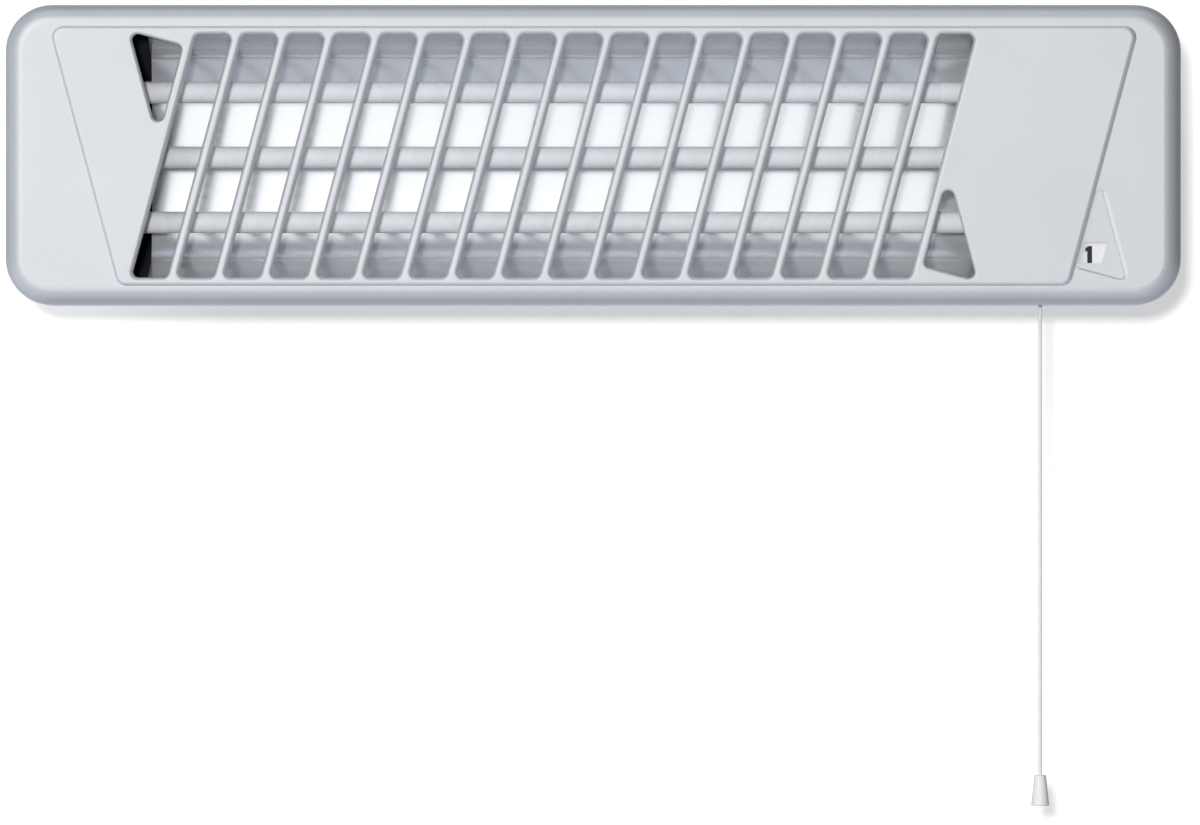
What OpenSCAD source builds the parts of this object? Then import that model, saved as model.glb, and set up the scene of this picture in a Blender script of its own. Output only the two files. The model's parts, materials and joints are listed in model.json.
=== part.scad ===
// Wall-mounted quartz heater with a tilting head and a pull-cord switch.
// The origin is the centre of the wall bracket's back face, +Z is up and
// the heater faces -Y. All lengths are in millimetres.

/* [Head] */
// Width of the heater head
head_w = 456; // [450:1:480]
// Height of the heater head
head_h = 116.5; // [114:0.5:126]
// Distance from the wall to the front of the grille panel
reach = 125; // [122:1:135]
// Radius of the head's corners, seen from the front
corner_r = 18; // [15:0.5:22]
// Radius of the rounded front rim
rim_r = 7; // [5:0.5:8]
// Wall of the front frame
frame_t = 2; // [1.6:0.1:2.4]
// Depth of the front frame, from its face to its back edge
frame_d = 36; // [35:0.5:38]
// Distance from the wall to the back of the rear housing, as a share of the reach
housing_share = 0.376; // [0.36:0.004:0.39]
// Sheet of the rear housing
housing_t = 1.2; // [1:0.1:1.6]
// Half the height of the rear housing's flat back
back_half = 24.05; // [23:0.05:26]

/* [Grille panel] */
// Width of the frame beside the panel, at half its height
panel_side = 30.4; // [27:0.2:32]
// Height of the frame above and below the panel
panel_edge = 7.95; // [7.3:0.05:8.5]
// Slant of the panel's sides and of the bars, in degrees
slant = 15; // [13:0.5:16]
// Height of the panel's face over the frame
panel_step = 1; // [0.8:0.1:1.4]
// Thickness of the panel between its openings
panel_t = 2.2; // [1.8:0.1:2.6]
// Number of slots between the bars
slot_count = 17; // [11:2:17]
// Width of the panel on the left of the bars, at half its height
plain_left = 29.1; // [28:0.1:31]
// Width of the panel on the right of the bars, at half its height
plain_right = 60.1; // [59:0.1:63]
// Width of a bar
bar_w = 4; // [3:0.25:5]
// Depth of the bars behind the panel's face
bar_d = 5.5; // [4:0.25:5.5]
// Height of the panel above and below the slots
slot_edge = 3.2; // [3:0.1:6]

/* [Heating] */
// Radius of a quartz tube
tube_r = 4.2; // [3.6:0.1:5]
// Distance from the reflector's creases to the outer tubes
tube_margin = 14; // [13:0.1:17]
// How much shorter a tube is than the grille
tube_short = 3.8; // [2:0.1:20]
// Depth of the tubes behind the panel's face, as a share of the reach
tube_share = 0.224; // [0.2:0.004:0.25]
// Depth of the reflector's middle behind the panel's face, as a share of the reach
mirror_share = 0.384; // [0.37:0.004:0.4]
// How much longer the reflector is than the grille
mirror_over = 17.3; // [14:0.1:18]
// Sheet of the reflector
mirror_t = 0.8; // [0.6:0.1:1]

/* [Wall bracket] */
// How much narrower the wall bracket is than half the head
bracket_inset = 8; // [0:1:14]
// Height of the wall bracket
bracket_h = 42; // [36:1:50]
// Sheet of the wall bracket
bracket_t = 2.5; // [2:0.1:3]
// Distance from the bracket's ends to the wall screws
screw_inset = 30; // [24:1:40]
// Radius of the wall screws' holes
screw_hole_r = 2.75; // [2:0.05:3.5]
// Distance from the wall to the tilt axis, as a share of the reach
pivot_share = 0.2; // [0.19:0.005:0.22]
// Radius of the pivot bolts
pivot_r = 2.5; // [2:0.1:3]

/* [Pull switch] */
// Distance from the head's right end to the pull cord
cord_side = 54; // [52:0.5:56]
// Radius of the pull cord
cord_r = 0.75; // [0.5:0.05:0.9]
// Travel of the pull cord
pull_travel = 8; // [5:0.5:8]
// Height of the pull knob
knob_h = 12; // [10:0.5:16]
// Radius of the knob at its foot
knob_foot_r = 3.55; // [3.2:0.05:4.5]
// Radius of the indicator dial
dial_r = 19; // [18.5:0.25:19.5]
// Radius of the ring of digits on the dial
digit_ring_r = 14; // [13.5:0.25:14.5]
// Height of a digit
digit_h = 6.3; // [5:0.1:7]

/* [Hidden] */
$fn = 48;

// Angles
quarter = 90;
half_turn = 180;
full_turn = 360;

// Clearances and the overrun of every cut
cut = 1;
pin_gap = 0.05;
fit_gap = 0.2;

// Sizes that follow from those above
housing_gap_d = housing_share * reach;
tube_depth = tube_share * reach;
mirror_depth = mirror_share * reach;
pivot_d = pivot_share * reach;
head_right = head_w / 2;
head_bottom = head_h / 2;
panel_w = head_w - 2 * panel_side;
panel_h = head_h - 2 * panel_edge;
grille_w = panel_w - plain_left - plain_right;
bar_pitch = grille_w / slot_count;
slot_h = panel_h - 2 * slot_edge;
tube_l = grille_w - tube_short;
mirror_l = grille_w + mirror_over;
bracket_w = head_w / 2 - bracket_inset;
screw_spacing = bracket_w - 2 * screw_inset;
cord_x = head_right - cord_side;

// Planes of the head, from front to back
panel_y = -reach;
face_y = panel_y + panel_step;
frame_in_y = face_y + frame_t;
frame_back_y = face_y + frame_d;
lap = 5;
seal_d = 2;
ledge_d = 1.4;
rim_y = frame_back_y - lap;
seal_y = rim_y - seal_d;
ledge_y = seal_y - ledge_d;
housing_back_y = -housing_gap_d;
housing_in_y = housing_back_y - housing_t;
straight_d = 7;
housing_round = 8;
housing_taper = head_bottom - frame_t - fit_gap - housing_round - back_half;
side_taper = 24;
taper_y0 = rim_y + straight_d;
taper_y1 = housing_back_y - housing_round;

// The grille's centre, and the shapes of the panel
grille_x = (plain_left - plain_right) / 2;
grille_z = -0.5;
panel_corner_r = 4.4;
slot_corner_r = 2.2;
bar_edge_r = 1.5;
bar_run = bar_w / cos(slant);
slot_run = bar_pitch - bar_run;
slot_w = slot_run * cos(slant);
grille_half = grille_w / 2;
side_leg = 36.6;
side_drop = 39.8;
side_tip_z = slot_h / 2 - side_drop;
panel_margin = 2.1;
opening_margin = 12.8;
opening_w = slot_count * bar_pitch + 2 * opening_margin;
opening_h = panel_h - 2 * panel_margin;
opening_r = 3;

// Posts that hold the panel, X and Z; the left ones stand in the middle of the panel's lip
post_r = 2;
post_l = 6;
clip_r = 4;
clip_t = 0.8;
post_right_in = 37.6;
post_far_in = 1.6;
post_low_in = 30.3;
post_high_in = 20.3;
post_side_in = 12.3;
post_right_x = panel_w / 2 - post_right_in;
post_far_x = panel_w / 2 - post_far_in;
post_low_z = post_low_in - panel_h / 2;
post_high_z = panel_h / 2 - post_high_in;
post_side_z = panel_h / 2 - post_side_in;
function lip_x(z) = (grille_x - opening_w / 2 - panel_w / 2 - lean_of(z)) / 2;
post_places = [[lip_x(post_low_z), post_low_z], [lip_x(post_high_z), post_high_z],
    [post_right_x, post_side_z], [post_right_x, -post_side_z], [post_far_x, post_side_z]];

// Case screws through the frame's top and bottom walls
case_screw_r = 1.5;
case_screw_head_r = 2.8;
case_screw_l = 7;
case_screw_sink = 1.4;
case_screw_in = 38;
case_screw_x = head_right - case_screw_in;
case_screw_y = frame_back_y - lap / 2;
seal_w = 2.2;

// Pivot and hinge lugs
bend_r = 2.5;
ear_r = 11;
ear_root = 7;
washer_t = 1;
washer_r = 8;
thrust_gap = 0.2;
lug_t = 2;
lug_r = 10;
lug_h = 30;
lug_foot_w = 18;
bolt_head_r = 4.5;
bolt_head_l = 3.4;
nut_r = 4.6;
nut_l = 4.6;
ear_in_x = bracket_w / 2 - bracket_t;
lug_out_x = ear_in_x - washer_t - thrust_gap;
lug_in_x = lug_out_x - lug_t;
rivet_r = 1.6;
rivet_head_r = 3;
rivet_head_l = 1;
lug_rivet_z = 10;

// Reflector, end plates and supports
mirror_shift = 4.35;
mirror_x = grille_x + mirror_shift;
mirror_r = 300;
shoulder_r = 31.4;
shoulder_in = 15.3;
mouth_in = 11.05;
crease_in = 7.9;
mouth_half = head_bottom - mouth_in;
crease_half = mouth_half - crease_in;
mouth_gap = 1;
mirror_y = panel_y + mirror_depth;
mouth_y = panel_y + bar_d + mouth_gap;
flat_half = crease_half - shoulder_in;
flat_a = asin(flat_half / mirror_r);
crease_a = asin(sin(flat_a) + shoulder_in / shoulder_r);
flat_steps = 6;
shoulder_steps = 10;
plate_t = 1.2;
plate_over = 15.5;
plate_half = grille_half + plate_over;
plate_foot = 14;
plate_front_in = 1.2;
plate_front_half = mouth_half - plate_front_in;
plate_front_d = 9;
plate_front_y = panel_y + plate_front_d;
plate_wide_in = 9.25;
plate_wide_half = head_bottom - plate_wide_in;
plate_back_half = 22;
plate_rivet_z = 14;
support_in = 26.3;
support_x = lug_in_x - lug_foot_w - support_in;
support_w = 26;
support_foot = 9;
support_h = 36;
mirror_touch_gap = 0.05;

// Tubes and what holds them
tube_y = panel_y + tube_depth;
tube_wall = 1;
tube_pitch = crease_half - tube_margin;
tube_rows = [for (row = [1, 0, -1]) grille_z + row * tube_pitch];
coil_r = 2.8;
coil_wall = 0.5;
coil_short = 6;
cap_r = tube_r + pin_gap;
cap_l = 26;
spigot_l = 10;
spigot_r = tube_r - tube_wall - fit_gap / 2;
collar_r = 6.4;
collar_l = 2.4;
terminal_pin_r = 0.8;
terminal_out = 3;
tab_w = 6.3;
tab_t = 0.8;
tab_l = 5;
clip_wall = 1.2;
tube_clip_t = 1.5;
clip_mouth = 5;

// Cut-out, terminal block, grommet and earth screw
cutout_split = 3;
cutout_x = support_x / cutout_split;
cutout_r = 8;
cutout_l = 7;
cutout_tab_l = 6;
cutout_tab_x = 4;
block_in = 55;
block_x = head_right - block_in;
block_z = 12;
block_w = 30;
block_h = 12;
block_d = 15;
pole_pitch = 9;
pole_z = 3;
pole_bore_r = 2;
pole_bore_d = 4;
pole_screw_l = 3.4;
wire_port_r = 1.6;
grommet_in = 56;
grommet_x = head_right - grommet_in;
grommet_z = -12;
grommet_hole_r = 5.5;
grommet_bore_r = 3.6;
grommet_lip = 1.6;
earth_in = 42;
earth_x = head_right - earth_in;
earth_z = -10;
earth_r = 2;
earth_head_r = 3.4;
earth_head_l = 2.4;
earth_l = 6;

// Switch stack, from the frame's plate backwards
arm_x = 18.4;
shaft_x = cord_x + arm_x;
window_in = 34.4;
window_up = 20.25;
window_x = head_right - window_in;
window_z = window_up - head_bottom;
window_w = 9.1;
window_h = 8;
recess_d = 0.8;
recess_leg = 40.4;
recess_up = 14.4;
recess_corner_r = 3;
recess_foot_z = recess_up - head_bottom;
dial_gap = 0.8;
dial_t = 1.4;
dial_y = frame_in_y + dial_gap;
digit_drop = 0.7;
dial_z = window_z - digit_drop + digit_ring_r;
digit_t = 0.15;
digit_stroke = 1.5;
digit_steps = 12;
flag_drop = 1.2;
three_a = 153;
bend_a = 45;
switch_gap = 0.8;
switch_w = 32;
switch_d = 13;
switch_y = dial_y + dial_t + switch_gap;
switch_back_y = switch_y + switch_d;
switch_wall = 2;
rotor_r = 11;
rotor_lobe_share = 0.55;
rotor_gap = 0.5;
ear_plate_t = 2;
switch_ear_r = 3.8;
switch_arm_h = 6;
boss_r = 3.4;
boss_pilot_r = 1.2;
boss_reach = 27.4;
boss_right_a = 29;
boss_left_a = 211;
screw_head_l = 1.6;
screw_head_r = 2.4;
shaft_r = 2;
ratchet_gap = 0.4;
ratchet_t = 2;
ratchet_r = 9;
ratchet_teeth = 12;
tooth_d = 1.2;
ratchet_y = switch_back_y + ratchet_gap;
lever_t = 2;
lever_gap = 0.4;
lever_y = ratchet_y + ratchet_t + lever_gap;
cord_back = 1.2;
cord_y = lever_y + cord_back;
arm_rise = asin(pull_travel / 2 / arm_x);
arm_r = arm_x / cos(arm_rise);
arm_w = 4;
hub_r = 5;
eye_w = 6;
eye_t = 2;
eye_r = 1.5;
pawl_gap = 0.4;
pawl_w = 3;
pawl_h = 3.4;
clip_gap = 0.3;
shaft_clip_t = 0.7;
shaft_clip_r = 3.6;
shaft_end = 1.4;
spade_w = 5;
spade_l = 8;
spade_t = 0.8;
spade_pitch = 7;
spade_count = 4;

// Cord, its guide and its spring
bush_r = 2.4;
bush_bore_r = 1.3;
bush_flange_r = 3.5;
bush_flange_t = 1.6;
bush_neck = 2;
ferrule_gap = 2.8;
ferrule_r = 2.2;
ferrule_l = 4;
ferrule_z = dial_z + pull_travel / 2 + ferrule_gap;
spring_seat_z = -head_bottom + frame_t + bush_flange_t + bush_neck;
collar_up = 23.25;
collar_z = collar_up - head_bottom;
spring_collar_r = 3;
spring_collar_l = 2.5;
spring_r = 2.5;
spring_wire_r = 0.3;
spring_turns = 8;
spring_steps = 10;
knob_top_r = 2.25;
cord_gap = 0.75;
cord_seen = 182;
cord_top_z = -head_bottom - cord_gap;
knob_top_z = cord_top_z - cord_seen;
knob_bore_r = 0.95;
knob_hollow_r = 2.3;
knob_hollow_d = 5;
knot_r = 1.6;
knot_z = knob_top_z - knob_h + knob_hollow_d - sqrt(knot_r * knot_r - knob_bore_r * knob_bore_r);

// Route of the hanging cord, from the head to the knot
cord_drops = [0, 5, 15, 25, 37, 49, 61, 73, 85, 97, 109, 121, 133, 145, 157, 169, 181, 191.8];
cord_route = [for (drop = cord_drops) [cord_x, cord_y, cord_top_z - drop]];

// Internal leads: their radius, the hole in each end plate and the stretches of the routes
// that lie between their ends
lead_r = 1.1;
lead_front = 13.8;
lead_y = housing_in_y - lead_front;
lead_z = plate_wide_half - housing_taper;
lead_hole_r = 2.5;
lead_start = 4;
route_steps = 3;
lead_side = 1.7;
jumper_reach = 9;
port_depth = 3;
left_x = grille_x - plate_half;
right_x = grille_x + plate_half;
low_row = tube_rows[2];
spade_y = switch_y + switch_d / 2;
spade_z = dial_z + switch_w / 2 + spade_l;
left_to_cutout = [[left_x - 23, tube_y + 1, low_row - 3.2], [left_x - 28, tube_y + 11, low_row + 1.8],
    [left_x - 26, lead_y - 12, -4], [left_x - 19, lead_y - 3, 18], [left_x - 2, lead_y, lead_z],
    [left_x + 6, lead_y, lead_z], [left_x + 64, lead_y + 1, 26], [cutout_x - 80, lead_y, 25],
    [cutout_x - 30, lead_y + 1, 23], [cutout_x - 12, lead_y + 5, 14]];
cutout_to_block = [[cutout_x + 14, lead_y + 5, 12], [cutout_x + 30, lead_y + 1, 22],
    [right_x - 53, lead_y, 25], [right_x - 3, lead_y, lead_z], [right_x + 4, lead_y + 1, 26]];
top_to_switch = [[right_x + 27, tube_y - 5, tube_rows[0] - 3.8],
    [right_x + 29, spade_y + 2.5, spade_z + 13.7]];
middle_to_switch = [[right_x + 28, tube_y - 2, tube_rows[1] + 3.5],
    [right_x + 35, spade_y + 5.5, spade_z + 10.7]];
bottom_to_switch = [[right_x + 29, tube_y + 8, low_row + 7.8], [right_x + 38, tube_y + 10, -2],
    [right_x + 44, tube_y + 1, spade_z + 9.7], [right_x + 44, spade_y + 5.5, spade_z + 11.7]];
switch_to_block = [[right_x + 51, spade_y + 5.5, spade_z + 10.7], [right_x + 52, tube_y + 3, 14],
    [right_x + 46, lead_y - 14, 18], [right_x + 34, lead_y - 2, 25], [right_x + 24, lead_y + 4, 28]];
block_to_earth = [[block_x + 15, lead_y + 3, 25], [block_x + 21, lead_y - 1, 14],
    [block_x + 18, lead_y - 3, 0]];

// How far a line at the slant leans for a height
function lean_of(z) = z * tan(slant);
function unit(v) = v / norm(v);

// Points that round the corner at c between p and q
function corner_points(p, c, q, r, n) =
    let (u = unit(p - c), v = unit(q - c), half = acos(u * v) / 2,
         mid = c + unit(u + v) * r / sin(half),
         a = c + u * r / tan(half) - mid, b = c + v * r / tan(half) - mid,
         start = atan2(a[1], a[0]),
         turn = (atan2(b[1], b[0]) - start + full_turn + half_turn) % full_turn - half_turn)
    [for (i = [0:n]) mid + r * [cos(start + turn * i / n), sin(start + turn * i / n)]];

// A closed outline with every corner rounded
function rounded(points, r, n = 6) =
    [for (i = [0:len(points) - 1])
        each corner_points(points[(i + len(points) - 1) % len(points)], points[i],
            points[(i + 1) % len(points)], r, n)];

// The outline of a sheet of thickness t whose one face follows the path
function sheet_outline(path, t) =
    let (last = len(path) - 1,
         far = [for (i = [0:last])
            let (along = unit(path[min(i + 1, last)] - path[max(i - 1, 0)]))
            path[i] + t * [-along[1], along[0]]])
    concat(path, [for (i = [last:-1:0]) far[i]]);

// A smooth curve through points, with n steps from each to the next
function smooth(p, n) =
    let (last = len(p) - 1)
    concat([for (i = [0:last - 1], k = [0:n - 1])
        let (t = k / n, a = p[max(i - 1, 0)], b = p[i], c = p[i + 1], d = p[min(i + 2, last)])
        b + (c - a) * t / 2 + (2 * a - 5 * b + 4 * c - d) * t * t / 2
            + (3 * b - a - 3 * c + d) * t * t * t / 2], [p[last]]);

// Directions along a path, and directions square to it that don't twist; no wire runs along
// the odd direction
wire_sides = 8;
spring_sides = 6;
odd_way = [0.3, 0.5, 0.8];
function tangents(p) =
    [for (i = [0:len(p) - 1]) unit(p[min(i + 1, len(p) - 1)] - p[max(i - 1, 0)])];
function normals(t) =
    [for (i = 0, n = unit(cross(t[0], odd_way)); i < len(t); i = i + 1,
        n = i < len(t) ? unit(n - (n * t[i]) * t[i]) : n) n];

// A round wire swept along points
module wire(p, r, sides = wire_sides) {
    t = tangents(p);
    n = normals(t);
    last = len(p) - 1;
    points = [for (i = [0:last], s = [0:sides - 1])
        p[i] + r * (cos(full_turn * s / sides) * n[i] + sin(full_turn * s / sides) * cross(t[i], n[i]))];
    walls = [for (i = [0:last - 1], s = [0:sides - 1])
        let (a = i * sides + s, b = i * sides + (s + 1) % sides)
        each [[a, a + sides, b], [b, a + sides, b + sides]]];
    ends = [for (s = [1:sides - 2])
        each [[0, s, s + 1], [last * sides, last * sides + s + 1, last * sides + s]]];
    polyhedron(points, concat(walls, ends));
}

// Extrudes a front view, X across and Z up, from y0 back to y1
module plate(y0, y1) {
    translate([0, y1, 0]) rotate([quarter, 0, 0]) linear_extrude(y1 - y0) children();
}

// Extrudes a side view, Y along and Z up, from x0 to x1
module side_plate(x0, x1) {
    translate([x0, 0, 0]) rotate([quarter, 0, quarter]) linear_extrude(x1 - x0) children();
}

module rod_x(x0, x1, r) {
    translate([x0, 0, 0]) rotate([0, quarter, 0]) cylinder(h = x1 - x0, r = r);
}

module rod_y(y0, y1, r) {
    translate([0, y1, 0]) rotate([quarter, 0, 0]) cylinder(h = y1 - y0, r = r);
}

module rod_z(z0, z1, r) {
    translate([0, 0, z0]) cylinder(h = z1 - z0, r = r);
}

module box(low, high) {
    translate(low) cube(high - low);
}

module quarter_disc(r) {
    intersection() {
        circle(r);
        square(r);
    }
}

// A rectangle with true round corners
module round_rect(w, h, r) {
    square([w - 2 * r, h], center = true);
    for (side = [0, 1]) mirror([side, 0]) translate([w / 2 - r, 0]) {
        translate([0, r - h / 2]) square([r, h - 2 * r]);
        for (end = [0, 1]) mirror([0, end]) translate([0, h / 2 - r]) quarter_disc(r);
    }
}

// Section of a slab's rim, outwards and backwards from the corner's axis
module rim_section(r, edge, depth) {
    square([r - edge, depth]);
    translate([r - edge, edge]) {
        square([edge, depth - edge]);
        mirror([0, 1]) quarter_disc(edge);
    }
}

// A slab from y = 0 backwards whose front edge is rounded all round
module soft_slab(w, h, r, edge, depth) {
    run_x = w / 2 - r;
    run_z = h / 2 - r;
    for (side_x = [0, 1], side_z = [0, 1])
        mirror([side_x, 0, 0]) mirror([0, 0, side_z]) translate([run_x, 0, -run_z])
            rotate([-quarter, 0, 0]) rotate_extrude(angle = quarter) rim_section(r, edge, depth);
    for (side = [0, 1]) {
        mirror([side, 0, 0]) translate([run_x, 0, -run_z])
            linear_extrude(2 * run_z) rim_section(r, edge, depth);
        mirror([0, 0, side]) translate([run_x, 0, run_z])
            rotate([0, -quarter, 0]) linear_extrude(2 * run_x) rim_section(r, edge, depth);
    }
    box([-run_x, 0, -run_z], [run_x, depth, run_z]);
}

// The wall bracket

module bracket_plan() {
    far = 2 * pivot_d;
    difference() {
        polygon(rounded([[bracket_w / 2, 0], [-bracket_w / 2, 0], [-bracket_w / 2, -far],
            [bracket_w / 2, -far]], bend_r + bracket_t));
        polygon(rounded([[ear_in_x, -bracket_t], [-ear_in_x, -bracket_t],
            [-ear_in_x, -2 * far], [ear_in_x, -2 * far]], bend_r));
    }
}

module bracket_side() {
    polygon([[cut, -bracket_h / 2], [cut, bracket_h / 2], [-ear_root, bracket_h / 2],
        [-pivot_d, ear_r], [-pivot_d, -ear_r], [-ear_root, -bracket_h / 2]]);
    translate([-pivot_d, 0]) circle(ear_r);
}

module wall_bracket() {
    color("silver") difference() {
        intersection() {
            translate([0, 0, -bracket_h / 2]) linear_extrude(bracket_h) bracket_plan();
            side_plate(-bracket_w / 2 - cut, bracket_w / 2 + cut) bracket_side();
        }
        for (side = [-1, 1])
            translate([side * screw_spacing / 2, 0, 0]) rod_y(-bracket_t - cut, cut, screw_hole_r);
        translate([0, -pivot_d, 0])
            rod_x(-bracket_w / 2 - cut, bracket_w / 2 + cut, pivot_r + pin_gap);
    }
}

module both_pivots() {
    for (side = [0, 1]) mirror([side, 0, 0]) translate([0, -pivot_d, 0]) children();
}

module pivot_bolts() {
    color("dimgray") both_pivots() {
        rod_x(lug_in_x - thrust_gap, bracket_w / 2 + nut_l + cut, pivot_r);
        rod_x(lug_in_x - thrust_gap - bolt_head_l, lug_in_x - thrust_gap, bolt_head_r);
    }
}

module pivot_washers() {
    color("gold") both_pivots() difference() {
        rod_x(ear_in_x - washer_t, ear_in_x, washer_r);
        rod_x(ear_in_x - washer_t - cut, ear_in_x + cut, pivot_r + pin_gap);
    }
}

module pivot_nuts() {
    color("dimgray") both_pivots() difference() {
        translate([bracket_w / 2, 0, 0]) rotate([0, quarter, 0])
            cylinder(h = nut_l, r = nut_r, $fn = 6);
        rod_x(bracket_w / 2 - cut, bracket_w / 2 + nut_l + cut, pivot_r + pin_gap);
    }
}

// Casing of the head

module panel_outline() {
    top = panel_h / 2;
    wide = panel_w / 2;
    translate([0, grille_z]) polygon(rounded([[wide + lean_of(top), top],
        [-wide - lean_of(top), top], [-wide + lean_of(top), -top],
        [wide - lean_of(top), -top]], panel_corner_r));
}

// A slanted slot of a width along the grille and a height
module slot_outline(run, h) {
    lean = lean_of(h / 2);
    polygon(rounded([[run / 2 + lean, h / 2], [-run / 2 + lean, h / 2],
        [-run / 2 - lean, -h / 2], [run / 2 - lean, -h / 2]], slot_corner_r));
}

// Right-angled triangle with its tip at the origin and its long leg up the slant
module wedge_outline(leg, r) {
    foot = leg * [sin(slant), cos(slant)];
    short = leg * tan(2 * slant) * [-cos(slant), sin(slant)];
    polygon(rounded([[0, 0], foot, foot + short], r));
}

module grille_openings() {
    for (k = [0:slot_count - 1])
        translate([(k - (slot_count - 1) / 2) * bar_pitch, 0]) slot_outline(slot_run, slot_h);
    for (turn = [0, half_turn]) rotate(turn)
        translate([-grille_half - bar_run / 2 + lean_of(side_tip_z), side_tip_z])
            wedge_outline(side_leg, slot_corner_r);
}

module opening_outline(gap) {
    translate([grille_x, grille_z]) round_rect(opening_w - 2 * gap, opening_h - 2 * gap, opening_r);
}

// Rounds the front edges of the bars along one slot
module bar_flare() {
    wide = slot_w / 2 + bar_edge_r;
    linear_extrude(2 * slot_h, center = true) difference() {
        translate([-wide, -cut]) square([2 * wide, bar_edge_r + cut]);
        for (side = [-1, 1]) translate([side * wide, bar_edge_r]) circle(bar_edge_r);
        for (side = [-1, 1]) translate([side * wide - bar_edge_r, bar_edge_r])
            square([2 * bar_edge_r, cut]);
    }
}

module grille_panel() {
    bars_half = grille_half + bar_run / 2;
    color("silver") difference() {
        union() {
            plate(panel_y, face_y) panel_outline();
            plate(face_y - cut / 2, panel_y + panel_t) opening_outline(fit_gap);
            intersection() {
                plate(panel_y + panel_t - cut / 2, panel_y + bar_d) opening_outline(fit_gap);
                plate(panel_y, panel_y + bar_d + cut) translate([grille_x, grille_z])
                    polygon([for (s = [[1, 1], [-1, 1], [-1, -1], [1, -1]])
                        [s[0] * bars_half + lean_of(s[1] * opening_h / 2), s[1] * opening_h / 2]]);
            }
            for (p = post_places) translate([p[0], 0, p[1]])
                rod_y(face_y - cut / 2, face_y + post_l, post_r);
        }
        plate(panel_y - cut, panel_y + bar_d + cut) translate([grille_x, grille_z])
            grille_openings();
        intersection() {
            for (k = [0:slot_count - 1])
                translate([grille_x + (k - (slot_count - 1) / 2) * bar_pitch, panel_y, grille_z])
                    rotate([0, slant, 0]) bar_flare();
            translate([0, 0, grille_z])
                box([-head_w, panel_y - 2 * cut, slot_corner_r - slot_h / 2],
                    [head_w, panel_y + bar_edge_r, slot_h / 2 - slot_corner_r]);
        }
    }
}

module panel_clips() {
    color("dimgray") for (p = post_places) translate([p[0], 0, p[1]]) difference() {
        rod_y(frame_in_y, frame_in_y + clip_t, clip_r);
        rod_y(frame_in_y - cut, frame_in_y + clip_t + cut, post_r + pin_gap);
    }
}

module window_outline(gap) {
    w = window_w / 2 - gap;
    h = window_h / 2 - gap;
    translate([window_x, window_z]) polygon([[w + lean_of(h), h], [-w + lean_of(h), h],
        [-w - lean_of(h), -h], [w - lean_of(h), -h]]);
}

module recess_outline() {
    edge_x = panel_w / 2 + lean_of(recess_foot_z - grille_z);
    translate([edge_x, recess_foot_z] + recess_leg * [sin(slant), cos(slant)])
        rotate(half_turn) wedge_outline(recess_leg, recess_corner_r);
}

module both_bosses() {
    for (a = [boss_right_a, boss_left_a])
        translate([shaft_x + boss_reach * cos(a), 0, dial_z + boss_reach * sin(a)]) children();
}

module all_case_screws() {
    for (x = [-case_screw_x, 0, case_screw_x], side = [0, 1])
        mirror([0, 0, side]) translate([x, case_screw_y, 0]) children();
}

module front_frame() {
    inner_r = corner_r - frame_t;
    inner_w = head_w - 2 * frame_t;
    inner_h = head_h - 2 * frame_t;
    color("silver") difference() {
        union() {
            difference() {
                translate([0, face_y, 0]) soft_slab(head_w, head_h, corner_r, rim_r, frame_d);
                translate([0, frame_in_y, 0])
                    soft_slab(inner_w, inner_h, inner_r, rim_r - frame_t, frame_d);
            }
            plate(ledge_y, seal_y) difference() {
                round_rect(inner_w + frame_t, inner_h + frame_t, inner_r + frame_t / 2);
                round_rect(inner_w - 2 * seal_w, inner_h - 2 * seal_w, inner_r - seal_w);
            }
            both_bosses() rod_y(frame_in_y - frame_t / 2, switch_y, boss_r);
        }
        plate(face_y - cut, frame_in_y + cut) opening_outline(0);
        plate(face_y - cut, face_y + recess_d) recess_outline();
        plate(face_y - cut, frame_in_y + cut) window_outline(0);
        for (p = post_places) translate([p[0], 0, p[1]])
            rod_y(face_y - cut, frame_in_y + cut, post_r + pin_gap);
        both_bosses() rod_y(switch_y - boss_r, switch_y + cut, boss_pilot_r);
        translate([cord_x, cord_y, 0]) rod_z(-head_h / 2 - cut, -head_h / 2 + frame_t + cut,
            bush_r + pin_gap);
        all_case_screws() {
            rod_z(head_h / 2 - frame_t - cut, head_h / 2 + cut, case_screw_r + pin_gap);
            translate([0, 0, head_h / 2 - case_screw_sink])
                cylinder(h = case_screw_sink, r1 = case_screw_r + pin_gap,
                    r2 = case_screw_head_r + pin_gap);
        }
    }
}

module window_lens() {
    color("white", 0.4) plate(face_y + recess_d, frame_in_y) window_outline(pin_gap);
}

// One slice of the rear housing for the hull, drawn in by an inset, and by a share of the taper
module housing_slice(y, inset, share, r) {
    w = head_w / 2 - frame_t - fit_gap - inset - share * side_taper - r;
    h = head_h / 2 - frame_t - fit_gap - inset - share * housing_taper - r;
    for (side_x = [-1, 1], side_z = [-1, 1])
        translate([side_x * w, y, side_z * h]) rotate([-quarter, 0, 0])
            cylinder(h = pin_gap, r = r, $fn = 32);
}

// The housing's outside, or its inside with a wall taken off
module housing_form(wall, front) {
    r = corner_r - frame_t - fit_gap;
    hull() {
        housing_slice(rim_y - front, wall, 0, r - wall);
        housing_slice(taper_y0 - wall / 2, wall, 0, r - wall);
        for (a = [0:quarter / 4:quarter])
            housing_slice(taper_y1 - wall - pin_gap + housing_round * sin(a),
                wall + housing_round * (1 - cos(a)), 1, r - wall - housing_round * (1 - cos(a)));
    }
}

module both_lug_rivets() {
    for (side = [-1, 1], z = [-lug_rivet_z, lug_rivet_z])
        translate([side * (lug_in_x - lug_foot_w / 2), 0, z]) children();
}

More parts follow.
